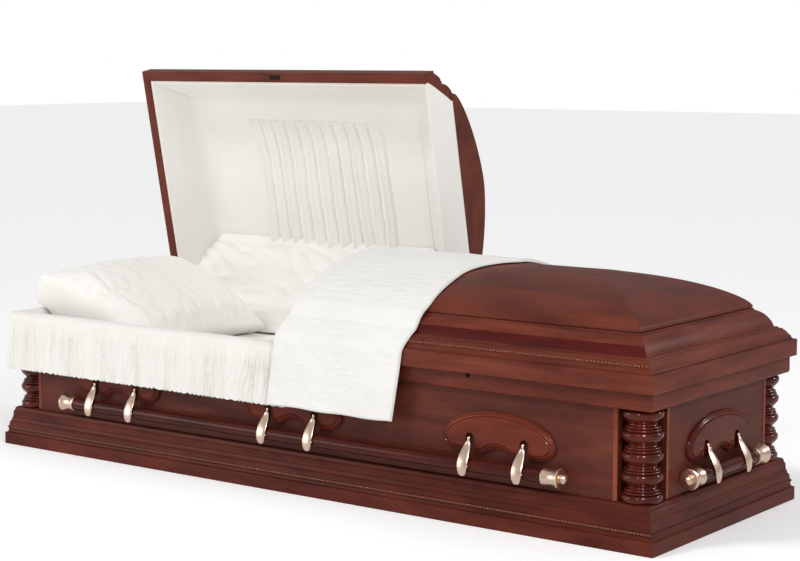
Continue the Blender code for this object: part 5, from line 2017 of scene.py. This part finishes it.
@dataclass
class Apron:
    """The loose cloth from the raised lid's panel down over the hinge into the body."""

    size: Carcass = CASKET
    head_x: float = -1.0
    foot_x: float = -0.002
    length: float = 0.33
    thickness: float = 0.0012

    def build(self) -> None:
        """Hang the cloth in one fixed bend between the lid and the body."""
        knots = [
            (0.4245, 0.560), (0.415, 0.520), (0.392, 0.470), (0.366, 0.425), (0.344, 0.393), (0.325, 0.377),
            (0.305, 0.362), (0.294, 0.335), (0.288, 0.305), (0.280, 0.2875),
        ]
        profile = through(knots, 80)
        u = np.linspace(0, 1, 300)
        share = np.linspace(0, 1, len(profile))[:, None]
        side_knots = [
            (0, -0.918), (0.13, -0.960), (0.30, -1.012), (0.47, -1.038), (0.57, -1.048), (0.66, -1.044),
            (0.75, -1.000), (1.0, -0.998),
        ]
        left = through(side_knots, 120)
        left_x = np.interp(share, left[:, 0], left[:, 1])
        right_taper = 0.105 * np.clip(1 - share / 0.35, 0, 1) ** 1.2
        x = left_x + (self.foot_x - right_taper - left_x) * u[None, :]
        y, z = np.broadcast_to(profile[:, :1], x.shape), np.broadcast_to(profile[:, 1:], x.shape)
        normal = np.abs(directions(profile)[:, ::-1])
        along = np.broadcast_to(share * self.length, x.shape)
        flat = level(x, along)
        from_corner = (along + 0.02, x - self.head_x + 0.05)
        radial, reach = np.arctan2(*from_corner), np.hypot(*from_corner)
        bunch = np.clip(1 - reach / 0.30, 0, 1) * np.sin(26 * radial + 3 * ripple(flat, (8, 8, 1), 3.0))
        slant = level(x + 0.9 * along, along - 0.35 * x)
        soft = 1 - 1.8 * np.abs(ripple(slant, (7.0, 18.0, 1.0), 4.0))
        fine = ripple(slant, (22.0, 50.0, 1.0), 8.0)
        fade = np.clip(share / 0.08, 0, 1) * np.clip((1 - share) / 0.05, 0, 1)
        lift = (0.0045 * bunch + 0.0055 * np.clip(soft, 0, 1) ** 1.4 + 0.0009 * fine) * fade
        lift = np.clip(lift, -0.002, 0.012)
        front = np.stack([x, y - normal[:, :1] * lift, z + normal[:, 1:] * lift], axis=-1)
        behind = normal * self.thickness
        back = np.stack([x, y + behind[:, :1], z - behind[:, 1:]], axis=-1)
        made = Skin().cloth(front, back).build("hinge_apron", [PILLOW_CREPE], 80)
        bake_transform(made)
        LOG.info("%s: %d faces", made.name, len(made.data.polygons))


@dataclass
class Studio:
    """Pale floor, soft lights and the camera."""

    camera_place: tuple[float, float, float] = (3.1166, -4.0256, 1.1131)
    yaw_deg: float = 36.93
    pitch_deg: float = 6.706
    lens_mm: float = 86.02

    def camera(self) -> None:
        """Stand the camera where the photograph was taken."""
        data = bpy.data.cameras.new("camera")
        data.lens = self.lens_mm
        data.sensor_width = 36.0
        data.clip_end = 100.0
        made = bpy.data.objects.new("camera", data)
        made.location = self.camera_place
        made.rotation_euler = (math.radians(90 - self.pitch_deg), 0.0, math.radians(self.yaw_deg))
        bpy.context.scene.collection.objects.link(made)
        bpy.context.scene.camera = made

    def lamp(
        self, name: str, place: Sequence[float], size: Pair, watts: float, gloss_only: bool = False
    ) -> None:
        """Hang one soft rectangular lamp aimed at the casket's middle.

        Args:
            name: The lamp's name.
            place: Its centre in metres.
            size: Its width and height in metres.
            watts: Its power.
            gloss_only: Whether it shows as a highlight alone and lights nothing else.
        """
        data = bpy.data.lights.new(name, "AREA")
        data.shape = "RECTANGLE"
        data.size, data.size_y = size
        data.energy = watts
        made = bpy.data.objects.new(name, data)
        made.location = place
        made.visible_diffuse = not gloss_only
        aim = Vector((0.0, 0.0, 0.3)) - Vector(place)
        made.rotation_euler = aim.to_track_quat("-Z", "Y").to_euler()
        bpy.context.scene.collection.objects.link(made)

    def sun(self, name: str, azimuth_deg: float, height_deg: float, watts: float, spread_deg: float) -> None:
        """A broad far lamp that shows in no reflection.

        Args:
            name: The lamp's name.
            azimuth_deg: Where it stands: 0 in front of the casket, 90 beyond its foot end.
            height_deg: How high it stands.
            watts: Its strength in watts per square metre.
            spread_deg: How broad it looks from the casket.
        """
        data = bpy.data.lights.new(name, "SUN")
        data.energy = watts
        data.angle = math.radians(spread_deg)
        made = bpy.data.objects.new(name, data)
        azimuth, height = math.radians(azimuth_deg), math.radians(height_deg)
        reach = math.cos(height)
        aim = Vector((-math.sin(azimuth) * reach, math.cos(azimuth) * reach, -math.sin(height)))
        made.rotation_euler = aim.to_track_quat("-Z", "Y").to_euler()
        made.visible_glossy = False
        bpy.context.scene.collection.objects.link(made)

    def room(self) -> None:
        """A white backdrop for the lens; for reflections, a pale ground, dim walls and a brighter ceiling."""
        world = bpy.data.worlds.new("studio")
        bpy.context.scene.world = world
        world.use_nodes = True
        tree = world.node_tree
        backdrop = tree.nodes["Background"]
        way = add_node(tree, "ShaderNodeTexCoord").outputs["Generated"]
        parts = add_node(tree, "ShaderNodeSeparateXYZ", inputs={0: way})
        height = add_node(tree, "ShaderNodeMapRange", inputs={"Value": parts.outputs["Z"], "From Min": -1.0})
        walls = add_node(tree, "ShaderNodeValToRGB", inputs={"Fac": height.outputs["Result"]})
        ramp = walls.color_ramp
        ramp.elements[0].color = (0.56, 0.56, 0.56, 1.0)
        ramp.elements[1].color = (0.50, 0.50, 0.50, 1.0)
        ramp.elements.new(0.48).color = (0.62, 0.61, 0.60, 1.0)
        ramp.elements.new(0.53).color = (0.26, 0.26, 0.26, 1.0)
        ray = add_node(tree, "ShaderNodeLightPath")
        seen = add_node(
            tree,
            "ShaderNodeMix",
            {"data_type": "RGBA"},
            {0: ray.outputs["Is Camera Ray"], 6: walls.outputs["Color"], 7: (1.0, 1.0, 1.0, 1.0)},
        )
        tree.links.new(seen.outputs[2], backdrop.inputs["Color"])

    def build(self) -> None:
        """Light the set and lay the floor."""
        bpy.context.scene.view_settings.view_transform = "Standard"
        self.room()
        self.sun("key", -34.0, 46.0, 1.00, 12.0)
        self.sun("fill", 72.0, 34.0, 0.82, 36.0)
        for name, place, size, watts, gloss_only in (
            ("window", (2.6, -2.3, 2.3), (0.36, 0.36), 24, False),
            ("small_window", (1.3, -3.5, 2.0), (0.22, 0.24), 7, False),
            ("far_window", (2.9, 2.4, 2.0), (0.30, 0.5), 12, False),
            ("window_glint", (2.7, -2.4, 2.4), (0.62, 0.62), 46, True),
            ("small_glint", (1.3, -3.6, 2.1), (0.36, 0.4), 14, True),
            ("far_glint", (3.0, 2.4, 2.1), (0.36, 0.6), 20, True),
            ("left_panel", (-3.2, -3.2, 1.0), (2.4, 2.0), 36, False),
        ):
            self.lamp(name, place, size, watts, gloss_only)
        floor = bpy.data.meshes.new("floor")
        reach = 30.0
        corners = [(-reach, -reach, 0), (reach, -reach, 0), (reach, reach, 0), (-reach, reach, 0)]
        floor.from_pydata(corners, [], [(0, 1, 2, 3)])
        made = bpy.data.objects.new("floor", floor)
        made.location = (0.0, 0.0, -0.0005)
        made.visible_glossy = False
        bpy.context.scene.collection.objects.link(made)
        pale = PlainFinish("pale floor", "#fafafa", "#f4f4f4", roughness=0.9).material()
        glow = next(node for node in pale.node_tree.nodes if node.type == "BSDF_PRINCIPLED")
        glow.inputs["Emission Color"].default_value = (1.0, 1.0, 1.0, 1.0)
        glow.inputs["Emission Strength"].default_value = 0.16
        floor.materials.append(pale)


def main() -> None:
    """Dress the whole casket, sub-assembly by sub-assembly."""
    logging.basicConfig(level=logging.INFO, format="%(message)s")
    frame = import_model()
    studio = Studio()
    studio.camera()
    studio.build()
    frame["nodes"]["floor_board"].material_slots[0].material = BARE_BOARD.material()
    Base().build()
    Walls().build()
    Columns().build()
    Handles().build()
    head = LidHalf("head", Body.HEAD_LID, -1, -CASKET.split_x, pleated=True)
    head.build()
    foot = LidHalf("foot", Body.FOOT_LID, 1, CASKET.split_x + CASKET.split_gap, pleated=False)
    foot.build()
    lid_y, lid_z = -(CASKET.lid_half_width - 0.0185), CASKET.lid_bottom + 0.0580
    lid_end = CASKET.lid_half_length - 0.022
    pearls = pearl_row("lid_pearls", lid_end, lid_y, lid_z, 0.0042, foot.cut + 0.006)
    settle(pearls, Body.FOOT_LID, "wood")
    Fastenings().build()
    Bedding().build()
    Skirt().build()
    Throw().build(foot)
    Apron().build()


if __name__ == "__main__":
    main()
